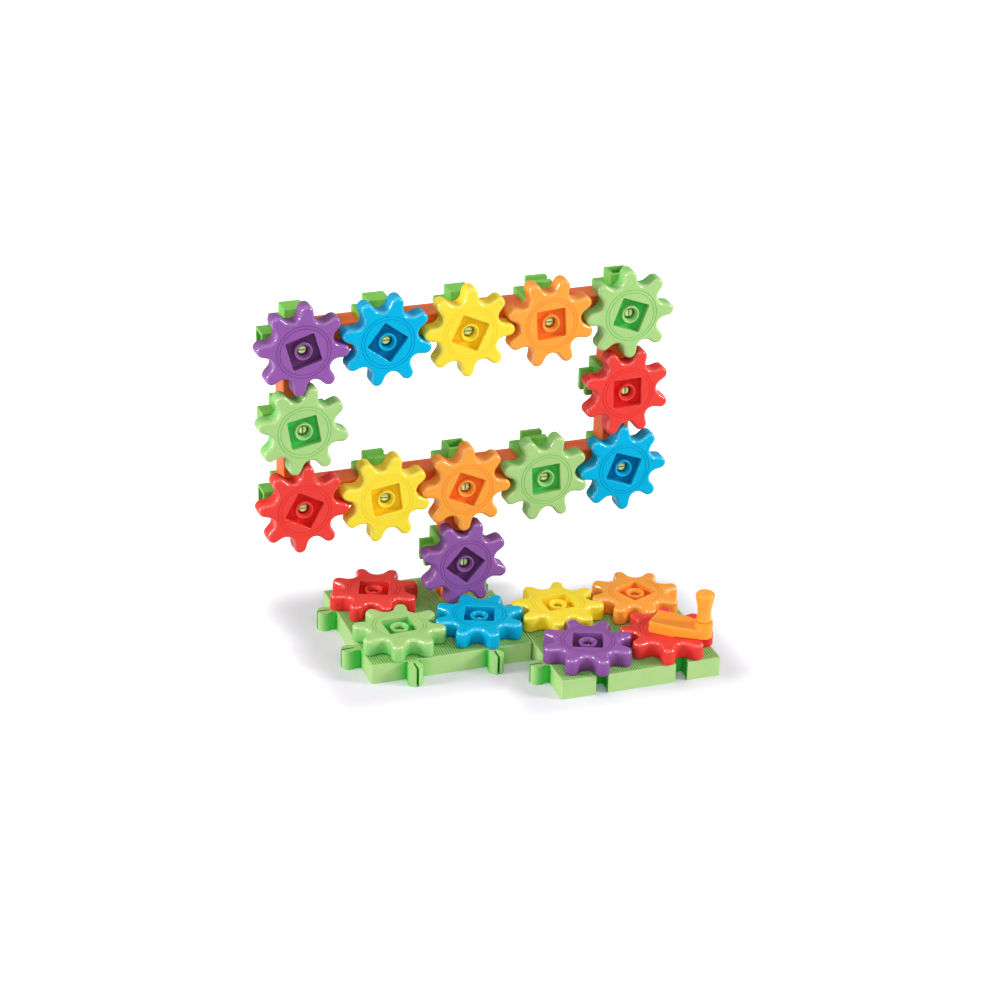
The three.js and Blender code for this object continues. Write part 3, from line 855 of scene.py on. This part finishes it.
def gear_seat(node, gear):
    """Where a gear's model goes: its axis from the joint, its turn from the socket's corners."""
    joint = next(j for j in frame["joints"] if j["child"] == frame["nodes"][node]["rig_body"])
    axis = Vector(joint["axis"])
    upright = abs(axis.y) > 0.5
    tilt = Matrix.Rotation(math.radians(90), 4, "X") if upright else Matrix.Identity(4)
    place = Vector(joint["pos_m"])
    low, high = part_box(node)
    if upright:
        place.y = high[1]
    else:
        place.z = low[2]
    seat = Matrix.Translation(place) @ tilt
    back = seat.inverted()
    floor = gear.thickness - gear.socket_depth
    across = Vector((0, 0))
    for vertex in frame["nodes"][node].data.vertices:
        spot = back @ vertex.co
        if abs(spot.z - floor) < 0.1 * MM and spot.xy.length > 1.5 * gear.hub_radius:
            angle = 4 * math.atan2(spot.y, spot.x)
            across += Vector((math.cos(angle), math.sin(angle)))
    corner = math.atan2(across.y, across.x) / 4
    return seat @ Matrix.Rotation(corner - math.radians(45 + 22.5), 4, "Z")


class TOY_OT_gears(bpy.types.Operator):
    """Model one gear and set a copy on every pin"""
    bl_idname = "toy.gears"
    bl_label = "Gears"

    def execute(self, context):
        gear = context.scene.toy_gear
        model = model_gear(gear)
        for node in nodes_named("gear_"):
            place_copy(model, node, gear_seat(node, gear))
        bpy.data.objects.remove(model)
        return {"FINISHED"}


# Split pins, on plates and connectors

def add_pin(pin, tip, foot):
    """A split pin on the foot profile that is given, from (radius, height) points."""
    small = pin.tip_round
    profile = foot + [(pin.radius, tip - pin.tip_length - small)]
    profile += [(pin.radius - 0.3 * small, tip - pin.tip_length)]
    profile += arc(small, small, pin.tip_radius - small, tip - small, 30, 90)
    profile += [(0, tip)]
    piece = add_turned(profile, steps=40)
    wide = pin.radius + OVERRUN
    slot = add_block((-wide, -pin.slot / 2, tip - pin.slot_depth), (wide, pin.slot / 2, tip + OVERRUN))
    return cut(piece, slot)


def pale_tip(pin, tip):
    """How pale a spot on a pin is: the tip is palest."""
    start = tip - pin.tip_length - pin.tip_round

    def paleness(spot):
        return 1 if spot.xy.length < pin.radius + SAME and spot.z > start - SAME else 0

    return paleness


# Connectors

def add_arm(connector):
    """A closed square arm along +X, its root inside the hub."""
    inner = connector.hub_side / 2
    half = connector.arm_side / 2
    outer = inner + connector.arm_reach
    arm = add_block((inner - 2 * OVERRUN, -half, -half), (outer, half, half))
    round_edges(arm, lambda edge: runs_along(edge, 0) or all_at(edge, 0, outer), connector.arm_round, 3)
    return arm


def add_plug(connector):
    outer = connector.hub_side / 2 + connector.arm_reach
    dimple = add_turned([(0, -connector.dimple / 2), (connector.dimple, OVERRUN), (0, OVERRUN)], steps=16)
    return cut(add_arm(connector), moved_by(turned_by(dimple, 90, "Y"), x=outer))


def add_fork(connector):
    inner = connector.hub_side / 2
    outer = inner + connector.arm_reach
    half = connector.fork_gap / 2
    side = connector.arm_side
    gap = add_block((inner - 3 * OVERRUN, -side, -half), (outer + OVERRUN, side, half))
    fork = cut(add_arm(connector), gap)
    inside = half + SAME
    round_edges(fork, lambda e: all_at(e, 0, outer) and all(abs(v.co.z) < inside for v in e.verts), 0.5 * MM, 2)
    return fork


def add_cup(connector):
    inner = connector.hub_side / 2
    outer = inner + connector.arm_reach
    half = connector.arm_side / 2 - connector.cup_wall
    room = add_block((inner + connector.cup_floor, -half, -half), (outer + OVERRUN, half, half))
    round_edges(room, lambda edge: runs_along(edge, 0), connector.arm_round, 3)
    cup = cut(add_arm(connector), room)
    return cup


def model_connector(connector, pin, gear):
    half = connector.hub_side / 2
    piece = add_post(connector.hub_side, -half, half)
    round_edges(piece, lambda edge: True, connector.hub_round, 3)
    well = add_post(connector.well_side, -half - OVERRUN, connector.well_depth - half)
    round_edges(well, lambda edge: runs_along(edge, 2), connector.well_corner, 3)
    cut(piece, well)

    small = connector.gear_gap
    top = half + connector.collar_height
    collar = [(0, half - OVERRUN), (connector.collar_radius + small, half - OVERRUN)]
    collar += [(connector.collar_radius + small, half)]
    collar += arc(small, small, connector.collar_radius + small, half + small, 270, 180)
    collar += arc(small, small, connector.collar_radius - small, top - small, 0, 90)
    collar += [(pin.radius, top)]
    tip = top + connector.gear_gap + gear.thickness - pin.below_gear
    fuse(piece, add_pin(pin, tip, collar))
    fuse(piece, add_cup(connector))
    fuse(piece, turned_by(add_cup(connector), 180))
    fuse(piece, turned_by(add_plug(connector), 90))
    fuse(piece, turned_by(add_fork(connector), -90))

    hollow = connector.arm_side / 2 - connector.cup_wall / 2
    well_half = connector.well_side / 2 + SAME
    cup_start = half + connector.cup_floor - SAME
    cup_end = half + connector.arm_reach - OVERRUN / 2

    # Painted shade: the pillar well darkens towards its floor, the cups are shaded inside, and the fork's gap darkens
    # towards the hub.
    def depth(spot):
        if max(abs(spot.x), abs(spot.y)) < well_half and -half < spot.z < connector.well_depth - half + SAME:
            return (spot.z + half) / connector.well_depth
        if max(abs(spot.y), abs(spot.z)) < hollow and cup_start < abs(spot.x) < cup_end:
            return 1
        if spot.y < -half and abs(spot.z) < connector.fork_gap / 2 + SAME:
            return 1 + (spot.y + half) / connector.arm_reach
        return 0

    mark_depth(smooth(piece), depth)
    mark_depth(piece, pale_tip(pin, tip), "pale")
    return mark_gloss(piece, 0.1)


UP_ARMS = {
    "connector_top_4": "fork",
    "connector_bottom_2": "fork",
    "connector_bottom_4": "fork",
    "connector_top_5": "cup, plug to the right",
    "connector_right": "cup, plug to the right",
    "connector_tower": "cup, plug to the right",
    "connector_left": "cup, plug to the left",
    "connector_bottom_3": "cup, plug to the left",
}
UP_ARM_TURNS = {"plug": 0, "fork": 180, "cup, plug to the left": 90, "cup, plug to the right": -90}


class TOY_OT_connectors(bpy.types.Operator):
    """Model one connector and set a copy behind every gear of the wall"""
    bl_idname = "toy.connectors"
    bl_label = "Connectors"

    def execute(self, context):
        scene = context.scene
        model = model_connector(scene.toy_connector, scene.toy_pin, scene.toy_gear)
        half = scene.toy_connector.hub_side / 2
        front = Matrix.Rotation(math.radians(90), 4, "X")
        for node in nodes_named("connector_"):
            low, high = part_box(node)
            middle = middle_of(node)
            place = Vector((middle.x, high[1] - half, middle.z))
            turn = math.radians(UP_ARM_TURNS[UP_ARMS.get(node, "plug")])
            place_copy(model, node, Matrix.Translation(place) @ front @ Matrix.Rotation(turn, 4, "Z"))
        bpy.data.objects.remove(model)
        return {"FINISHED"}


# Pillars

def model_pillar(pillar, length):
    half = pillar.side / 2
    bore_half = half - pillar.wall
    piece = add_post(pillar.side, 0, length)
    round_edges(piece, lambda edge: runs_along(edge, 2), pillar.edge_round, 4)
    bore = add_post(2 * bore_half, -OVERRUN, length + OVERRUN)
    round_edges(bore, lambda edge: runs_along(edge, 2), pillar.bore_round, 2)
    cut(piece, bore)
    round_edges(
        piece, lambda edge: all_at(edge, 2, 0) or all_at(edge, 2, length), pillar.end_round, 2
    )
    inside = bore_half + SAME

    # Painted shade: the inside of the tube is shaded all over.
    def depth(spot):
        return 1 if max(abs(spot.x), abs(spot.y)) < inside else 0

    return mark_gloss(mark_depth(smooth(piece), depth), 0.12)


class TOY_OT_pillars(bpy.types.Operator):
    """Model the square pillars and set them between the connectors"""
    bl_idname = "toy.pillars"
    bl_label = "Pillars"

    def execute(self, context):
        pillar = context.scene.toy_pillar
        models = {}
        for node in nodes_named("pillar_"):
            low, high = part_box(node)
            spans = [top - bottom for bottom, top in zip(low, high)]
            length = round(max(spans), 5)
            level = spans[0] == max(spans)
            if length not in models:
                models[length] = model_pillar(pillar, length)
            middle = middle_of(node)
            if level:
                turn = Matrix.Rotation(math.radians(90), 4, "Y")
                foot = Vector((low[0], middle.y, middle.z))
            else:
                turn = Matrix.Identity(4)
                foot = Vector((middle.x, middle.y, low[2]))
            place_copy(models[length], node, Matrix.Translation(foot) @ turn)
        for model in models.values():
            bpy.data.objects.remove(model)
        return {"FINISHED"}


# Base plates

def add_tab(joint, height):
    """A split tab with a round head along +X from x = 0."""
    neck = joint.neck_width / 2
    head = joint.head_width / 2
    reach = joint.neck_length + joint.head_length
    swing = 180 - math.degrees(math.asin(neck / head))
    outline = [(-OVERRUN, -neck)] + arc(head, head, reach - head, 0, -swing, swing, 20) + [(-OVERRUN, neck)]
    tab = add_prism(outline, 0, height)
    round_edges(tab, lambda edge: all_at(edge, 2, height), joint.tab_round, 2)
    half = joint.slit / 2
    cut(tab, add_block((joint.neck_length, -half, -OVERRUN), (reach + OVERRUN, half, height + OVERRUN)))
    inside = half + SAME
    return round_edges(
        tab,
        lambda e: all_at(e, 2, height) and runs_along(e, 0) and all(abs(v.co.y) < inside for v in e.verts),
        joint.tab_round / 2,
        1,
    )


def add_slot(joint, height, grow=0.0, low=0.0):
    """The room of a slot, inwards along -X from x = 0, grown by a margin."""
    mouth = (joint.neck_width + joint.room) / 2 + grow
    chamber = (joint.head_width + joint.room) / 2 + grow
    mouth_depth = joint.neck_length - joint.plate_gap - joint.room - grow
    depth = joint.neck_length + joint.head_length + joint.room - joint.plate_gap + grow
    side = [(OVERRUN, mouth), (-mouth_depth, mouth), (-mouth_depth, chamber), (-depth, chamber)]
    outline = [(x, -y) for x, y in side] + side[::-1]
    return add_prism(outline, low - OVERRUN, height + OVERRUN)


def waffle_comb(plate, turn):
    """The parallel grooves of the waffle in one direction, from one groove that is repeated."""
    inner = plate.side / 2 - plate.rim
    half = plate.groove / 2
    bottom = plate.thickness - plate.groove_depth
    bar = add_block((-inner, -inner - half, bottom), (inner, -inner + half, plate.thickness + OVERRUN))
    start_edit(bar)
    pick("FACE", lambda face: all_at(face, 2, bottom))
    bpy.ops.transform.resize(value=(1, plate.groove_taper, 1), center_override=(0, -inner, bottom))
    end_edit()
    bpy.ops.object.modifier_add(type="ARRAY")
    rows = bar.modifiers[-1]
    rows.use_relative_offset = False
    rows.use_constant_offset = True
    rows.constant_offset_displace = (0, 2 * inner / plate.cells, 0)
    rows.count = plate.cells + 1
    bpy.ops.object.modifier_apply(modifier=rows.name)
    return turned_by(bar, turn)


def plain_margins(plate, joint, wells, edges):
    """Blocks over the wells and slots that keep the waffle away from them."""
    blocks = []
    for x in wells:
        for y in wells:
            side = plate.well_side + 2 * plate.margin
            blocks.append(add_post(side, 0, plate.thickness + 2 * OVERRUN, x, y))
    for at in wells:
        for turn in edges:
            slot = add_slot(joint, plate.thickness + OVERRUN, plate.margin, plate.skin)
            blocks.append(set_on_edge(slot, plate, at, turn))
    return joined(blocks)


def set_on_edge(piece, plate, at, turn):
    """Moves a tab or slot to the plate's +X edge, then turns it with the edge."""
    along = at if turn in (0, 180) else -at
    sign = 1 if turn in (0, 90) else -1
    return turned_by(moved_by(piece, x=plate.side / 2, y=sign * along if turn in (0, 180) else along), turn)


def model_plate(plate, joint, pin, gear):
    half = plate.side / 2
    top = plate.thickness
    ceiling = top - plate.skin
    wells = (-plate.pitch / 2, plate.pitch / 2)
    piece = add_post(plate.side, 0, top)
    round_edges(piece, lambda edge: runs_along(edge, 2), plate.corner_round, 3)
    round_edges(piece, lambda edge: all_at(edge, 2, top), plate.edge_round, 2)
    start_edit(piece)
    pick("FACE", lambda face: any(all_at(face, axis, side) for axis in (0, 1) for side in (-half, half)))
    bpy.ops.mesh.subdivide(number_cuts=15)
    end_edit()

    hollow = add_post(plate.side - 2 * plate.wall, -OVERRUN, ceiling)
    for turn in (0, 90):
        rib = add_block((-half, -plate.rib / 2, -2 * OVERRUN), (half, plate.rib / 2, top))
        cut(hollow, turned_by(rib, turn))
    casing = plate.well_side + 2 * plate.well_wall
    cut(hollow, joined([add_post(casing, -2 * OVERRUN, top, x, y) for x in wells for y in wells]))
    for at in wells:
        for turn in (0, 90):
            cut(hollow, set_on_edge(add_slot(joint, top, plate.wall), plate, at, turn))
    cut(piece, hollow)

    tip = top + plate.gear_gap + gear.thickness - pin.below_gear
    for x in wells:
        for y in wells:
            well = add_post(plate.well_side, plate.well_floor, top + OVERRUN, x, y)
            round_edges(well, lambda edge: runs_along(edge, 2), plate.corner_round, 2)
            cut(piece, well)
            foot = [(0, plate.well_floor - OVERRUN), (pin.radius, plate.well_floor - OVERRUN)]
            fuse(piece, moved_by(add_pin(pin, tip, foot), x=x, y=y))
    for at in wells:
        for turn in (0, 90):
            cut(piece, set_on_edge(add_slot(joint, top), plate, at, turn))
        for turn in (180, -90):
            fuse(piece, set_on_edge(add_tab(joint, top), plate, at, turn))

    for turn in (0, 90):
        comb = waffle_comb(plate, turn)
        cut(comb, plain_margins(plate, joint, wells, (0, 90)))
        cut(piece, comb)

    groove_floor = top - plate.groove_depth
    paleness = pale_tip(pin, tip)
    tab_reach = joint.neck_length + joint.head_length
    neck = joint.neck_width / 2

    def shade_by(aside):
        return 1 - max(0, aside - neck) / (joint.head_width - neck)

    # Painted shade: the tabs darken towards the plate and in the slit, the wall darkens beside each tab, and the
    # waffle's grooves, the slots, the wells and the underside darken towards the bottom.
    def depth(spot):
        if spot.z > top - SAME:
            return 0
        ends = (-spot.x - half, spot.y), (-spot.y - half, spot.x)
        for out, along in ends:
            aside = min(abs(along - at) for at in wells)
            if out > joint.neck_length - SAME and aside < joint.slit / 2 + SAME:
                return 1
            if out > -SAME and aside < joint.head_width:
                return 0.95 * (1 - (out / tab_reach) ** 2) * (1 if out > SAME else shade_by(aside))
        if max(abs(spot.x), abs(spot.y)) > half - plate.corner_round - SAME:
            return 0
        if abs(spot.z - groove_floor) < SAME:
            return 0.9
        return 0.3 + (top - spot.z) / ceiling

    def pale(spot):
        near = [Vector((spot.x - x, spot.y - y, spot.z)) for x in wells for y in wells]
        return max(paleness(place) for place in near)

    # Painted shade on whole faces: the walls of the slots, wells, waffle grooves and underside; not the top, the outer
    # walls or their rounded corners and edges.
    def wall_shade(centre):
        sides = sorted(abs(side) for side in centre.xy)
        if centre.z > top - SAME or sides[1] > half - SAME or sides[0] > half - plate.corner_round:
            return 0
        return 0 if sides[1] > half - plate.edge_round and centre.z > top - plate.edge_round else 0.85

    mark_depth(smooth(piece), depth)
    mark_face_shade(piece, wall_shade)
    mark_depth(piece, pale, "pale")
    return mark_gloss(piece, 0.06)


class TOY_OT_plates(bpy.types.Operator):
    """Model one base plate and set the second one a quarter turn clockwise"""
    bl_idname = "toy.plates"
    bl_label = "Base plates"

    def execute(self, context):
        scene = context.scene
        plate = scene.toy_plate
        model = model_plate(plate, scene.toy_joint, scene.toy_pin, scene.toy_gear)
        half = plate.side / 2
        low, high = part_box("base_plate_left")
        place_copy(model, "base_plate_left", Matrix.Translation((high[0] - half, high[1] - half, 0)))
        low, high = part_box("base_plate_right")
        seat = Matrix.Translation((high[0] - half, low[1] + half, 0))
        place_copy(model, "base_plate_right", seat @ Matrix.Rotation(math.radians(-90), 4, "Z"))
        bpy.data.objects.remove(model)
        return {"FINISHED"}


# Crank

def model_crank_arm(crank):
    rear = crank.plug_side / 2
    lean = math.atan2(rear - crank.boss_radius, crank.reach - crank.taper_start)
    outline = [(-rear, -rear), (crank.taper_start, -rear)]
    steps = 16
    for step in range(steps + 1):
        angle = (math.pi / 2 - lean) * (2 * step / steps - 1)
        spot = (crank.reach + crank.boss_radius * math.cos(angle), crank.boss_radius * math.sin(angle))
        outline.append(spot)
    outline += [(crank.taper_start, rear), (-rear, rear)]
    piece = add_prism(outline, 0, crank.thickness)
    behind = -rear + SAME
    round_edges(piece, lambda e: runs_along(e, 2) and all(v.co.x < behind for v in e.verts), 1.6 * MM, 4)
    round_edges(piece, lambda edge: all_at(edge, 2, crank.thickness), crank.edge_round, 4)
    round_edges(piece, lambda edge: all_at(edge, 2, 0), crank.edge_round / 2, 2)

    plug = add_post(crank.plug_side, -crank.plug_depth, OVERRUN)
    round_edges(plug, lambda edge: runs_along(edge, 2), crank.plug_corner, 3)
    fuse(piece, plug)
    cut(piece, add_drum(crank.hub_room, -crank.plug_depth - OVERRUN, crank.hub_room_height))

    low = crank.thickness
    top = low + crank.boss_height
    groove = crank.collar_groove
    boss = [(0, low - OVERRUN), (crank.boss_radius, low - OVERRUN), (crank.boss_radius, top - 3 * groove)]
    boss += [(crank.boss_radius - groove, top - 2.4 * groove), (crank.boss_radius - groove, top - 2 * groove)]
    boss += [(crank.boss_radius - groove / 2, top - 1.5 * groove)]
    boss += arc(groove, groove, crank.boss_radius - 1.5 * groove, top - groove, 0, 90)
    end = top + crank.spindle_length
    boss += [(crank.spindle_radius, top), (crank.spindle_radius, end - groove)]
    boss += [(crank.spindle_radius - groove, end), (0, end)]
    fuse(piece, moved_by(add_turned(boss), x=crank.reach))
    # Painted shade: the arm's top face gets part of the shade colour, so it reads darker and redder than the sides.
    mark_face_shade(piece, lambda centre: 0.4 if abs(centre.z - crank.thickness) < SAME else 0)
    edge_start = crank.thickness - crank.edge_round + SAME
    edge_end = crank.thickness - SAME
    return mark_depth(smooth(piece), lambda spot: 0.6 if edge_start < spot.z < edge_end else 0.1, "polish")


def model_knob(crank):
    waist = crank.knob_waist
    height = crank.knob_height
    flare = crank.knob_top - waist
    crown = crank.knob_crown
    shares = ((0.12, 0.55), (0.22, 0.15), (0.32, 0))
    profile = [(crank.knob_bore, 0.3 * MM), (crank.knob_bore + 0.3 * MM, 0), (crank.knob_foot - 0.4 * MM, 0)]
    profile += [(crank.knob_foot, 0.4 * MM)]
    profile += [(waist + share * (crank.knob_foot - waist), height * rise) for rise, share in shares]
    swell = ((0.45, 0.10), (0.57, 0.30), (0.68, 0.55), (0.78, 0.80), (0.86, 0.96))
    profile += [(waist + share * flare, height * rise) for rise, share in swell]
    profile += arc(crown, crown, crank.knob_top - crown, height - crown, 0, 90, 5)
    profile += [(crank.knob_dimple, height), (crank.knob_dimple * 0.6, height - crank.knob_dimple)]
    profile += [(0, height - crank.knob_dimple)]
    knob = add_turned([(0, crank.knob_bore_depth), (crank.knob_bore, crank.knob_bore_depth)] + profile)
    return mark_gloss(smooth(knob, 40), 0.22)


class TOY_OT_crank(bpy.types.Operator):
    """Model the crank arm and its knob"""
    bl_idname = "toy.crank"
    bl_label = "Crank"

    def execute(self, context):
        crank = context.scene.toy_crank
        joints = {joint["name"]: joint for joint in frame["joints"]}
        hub = Vector(joints["crank_turn"]["pos_m"])
        grip = Vector(joints["knob_spin"]["pos_m"])
        turn = Matrix.Rotation(math.atan2(grip.y - hub.y, grip.x - hub.x), 4, "Z")
        knob_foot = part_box("crank_knob")[0][2]
        arm_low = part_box("crank_arm")[0][2] + crank.plug_depth
        arm = model_crank_arm(crank)
        place_copy(arm, "crank_arm", Matrix.Translation((hub.x, hub.y, arm_low)) @ turn)
        bpy.data.objects.remove(arm)
        knob = model_knob(crank)
        place_copy(knob, "crank_knob", Matrix.Translation((grip.x, grip.y, knob_foot)) @ turn)
        bpy.data.objects.remove(knob)
        return {"FINISHED"}


# Stage

def path_seen(nodes, link):
    """1 for what the camera sees, straight or through gloss or glass, and 0 for light that falls."""
    path = nodes.new("ShaderNodeLightPath")
    seen = path.outputs["Is Camera Ray"]
    for ray in ("Is Glossy Ray", "Is Transmission Ray"):
        either = nodes.new("ShaderNodeMath")
        either.operation = "MAXIMUM"
        link(seen, either.inputs[0])
        link(path.outputs[ray], either.inputs[1])
        seen = either.outputs["Value"]
    return seen


def floor_material(base):
    """A pale floor that reads as white to the camera away from the toy and keeps the toy's shadow; near the plates it
    is also painted darker.
    """
    material = bpy.data.materials.new("Pale floor")
    material.use_nodes = True
    nodes = material.node_tree.nodes
    link = material.node_tree.links.new
    output = nodes["Material Output"]
    nodes.remove(nodes["Principled BSDF"])
    paint = nodes.new("ShaderNodeBsdfDiffuse")
    paint.inputs["Color"].default_value = base
    glow = nodes.new("ShaderNodeEmission")
    glow.inputs["Color"].default_value = (1, 1, 1, 1)
    any_seen = path_seen(nodes, link)
    place = nodes.new("ShaderNodeTexCoord")
    nearest = nodes.new("ShaderNodeMath")
    nearest.operation = "MINIMUM"
    for number, node in enumerate(("base_plate_left", "base_plate_right")):
        low, high = [Vector(corner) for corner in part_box(node)]
        steps = (("SUBTRACT", (low + high) / 2), ("ABSOLUTE", None), ("SUBTRACT", (high - low) / 2))
        spans = place.outputs["Object"]
        for operation, value in (*steps, ("MAXIMUM", (0, 0, 0))):
            step = nodes.new("ShaderNodeVectorMath")
            step.operation = operation
            link(spans, step.inputs[0])
            if value is not None:
                step.inputs[1].default_value = value
            spans = step.outputs["Vector"]
        distance = nodes.new("ShaderNodeVectorMath")
        distance.operation = "LENGTH"
        link(spans, distance.inputs[0])
        link(distance.outputs["Value"], nearest.inputs[number])
    # Painted shade: the white glow fades out within about six centimetres of the plates, so the floor there shows the
    # real shadow and also a darker band around the toy's base.
    fade = nodes.new("ShaderNodeMapRange")
    fade.interpolation_type = "SMOOTHSTEP"
    fade.inputs["From Max"].default_value = 0.057
    fade.inputs["To Min"].default_value = 0.04
    fade.inputs["To Max"].default_value = 0.9
    link(nearest.outputs["Value"], fade.inputs["Value"])
    strength = nodes.new("ShaderNodeMath")
    strength.operation = "MULTIPLY"
    link(fade.outputs["Result"], strength.inputs[0])
    link(any_seen, strength.inputs[1])
    link(strength.outputs["Value"], glow.inputs["Strength"])
    both = nodes.new("ShaderNodeAddShader")
    link(paint.outputs["BSDF"], both.inputs[0])
    link(glow.outputs["Emission"], both.inputs[1])
    link(both.outputs["Shader"], output.inputs["Surface"])
    return material


def white_room(strength):
    world = bpy.data.worlds.new("White room")
    bpy.context.scene.world = world
    world.use_nodes = True
    nodes = world.node_tree.nodes
    link = world.node_tree.links.new
    background = nodes["Background"]
    background.inputs["Color"].default_value = (1, 1, 1, 1)
    level = nodes.new("ShaderNodeMapRange")
    level.inputs["To Min"].default_value = strength
    level.inputs["To Max"].default_value = 1
    link(path_seen(nodes, link), level.inputs["Value"])
    link(level.outputs["Result"], background.inputs["Strength"])


def add_lamp(name, place, aim, width, power):
    clear_selection()
    bpy.ops.object.light_add(type="AREA", location=place)
    lamp = bpy.context.object
    lamp.name = name
    lamp.data.shape = "DISK"
    lamp.data.size = width
    lamp.data.energy = power
    lamp.rotation_euler = (Vector(aim) - Vector(place)).to_track_quat("-Z", "Y").to_euler()


class TOY_OT_stage(bpy.types.Operator):
    """Set up the floor, the lights and the camera"""
    bl_idname = "toy.stage"
    bl_label = "Stage"

    def execute(self, context):
        scene = context.scene
        stage = scene.toy_stage
        clear_selection()
        bpy.ops.mesh.primitive_plane_add(size=9, location=(0, 0, -0.02 * MM))
        bpy.ops.object.transform_apply()
        floor = bpy.context.object
        floor.name = "pale_floor"
        floor.data.materials.append(floor_material(scene.toy_colours.floor))
        white_room(stage.sky)
        aim = (0.02, -0.02, 0.09)
        add_lamp("left_light", (-2.6, 0.05, 1.05), aim, 0.95, stage.left_power)
        add_lamp("right_light", (2.3, -1.35, 1.15), aim, 0.95, stage.right_power)
        add_lamp("front_light", (-0.5, -3.0, 2.3), aim, 2.4, stage.front_power)

        azimuth, elevation, roll = -stage.camera_azimuth, stage.camera_elevation, stage.camera_roll
        forward = Vector((
            -math.sin(azimuth) * math.cos(elevation),
            math.cos(azimuth) * math.cos(elevation),
            -math.sin(elevation),
        ))
        level_right = Vector((math.cos(azimuth), math.sin(azimuth), 0))
        level_up = level_right.cross(forward)
        right = math.cos(roll) * level_right + math.sin(roll) * level_up
        up = math.cos(roll) * level_up - math.sin(roll) * level_right
        bpy.ops.object.camera_add(location=stage.camera_place)
        camera = bpy.context.object
        camera.name = "camera"
        camera.rotation_euler = Matrix((right, up, -forward)).transposed().to_euler()
        camera.data.sensor_width = 36
        camera.data.lens = stage.lens
        camera.data.clip_start = 0.05
        camera.data.clip_end = 20
        scene.camera = camera
        scene.view_settings.view_transform = "Standard"
        return {"FINISHED"}


class TOY_PT_panel(bpy.types.Panel):
    """Lists the pieces of the toy"""
    bl_label = "Crank gear toy"
    bl_space_type = "VIEW_3D"
    bl_region_type = "UI"
    bl_category = "Gear toy"

    def draw(self, context):
        for operator in OPERATORS:
            self.layout.operator(operator.bl_idname)
        for name in GROUPS:
            box = self.layout.box()
            group = getattr(context.scene, name)
            for key in group.bl_rna.properties.keys():
                if key not in ("rna_type", "name"):
                    box.prop(group, key)


GROUPS = {
    "toy_gear": GearSizes,
    "toy_pin": PinSizes,
    "toy_connector": ConnectorSizes,
    "toy_pillar": PillarSizes,
    "toy_plate": PlateSizes,
    "toy_joint": JointSizes,
    "toy_crank": CrankSizes,
    "toy_colours": Colours,
    "toy_deep_colours": PaintedShadeAndTipColours,
    "toy_stage": StageSettings,
}
OPERATORS = (TOY_OT_gears, TOY_OT_connectors, TOY_OT_pillars, TOY_OT_plates, TOY_OT_crank, TOY_OT_stage)
CLASSES = (*GROUPS.values(), *OPERATORS, TOY_PT_panel)


def register():
    for item in CLASSES:
        bpy.utils.register_class(item)
    for name, group in GROUPS.items():
        setattr(bpy.types.Scene, name, bpy.props.PointerProperty(type=group))


def unregister():
    for name in GROUPS:
        delattr(bpy.types.Scene, name)
    for item in reversed(CLASSES):
        bpy.utils.unregister_class(item)


def main():
    register()
    bpy.ops.toy.plates()
    bpy.ops.toy.pillars()
    bpy.ops.toy.connectors()
    bpy.ops.toy.gears()
    bpy.ops.toy.crank()
    bpy.ops.toy.stage()


if __name__ == "__main__":
    main()
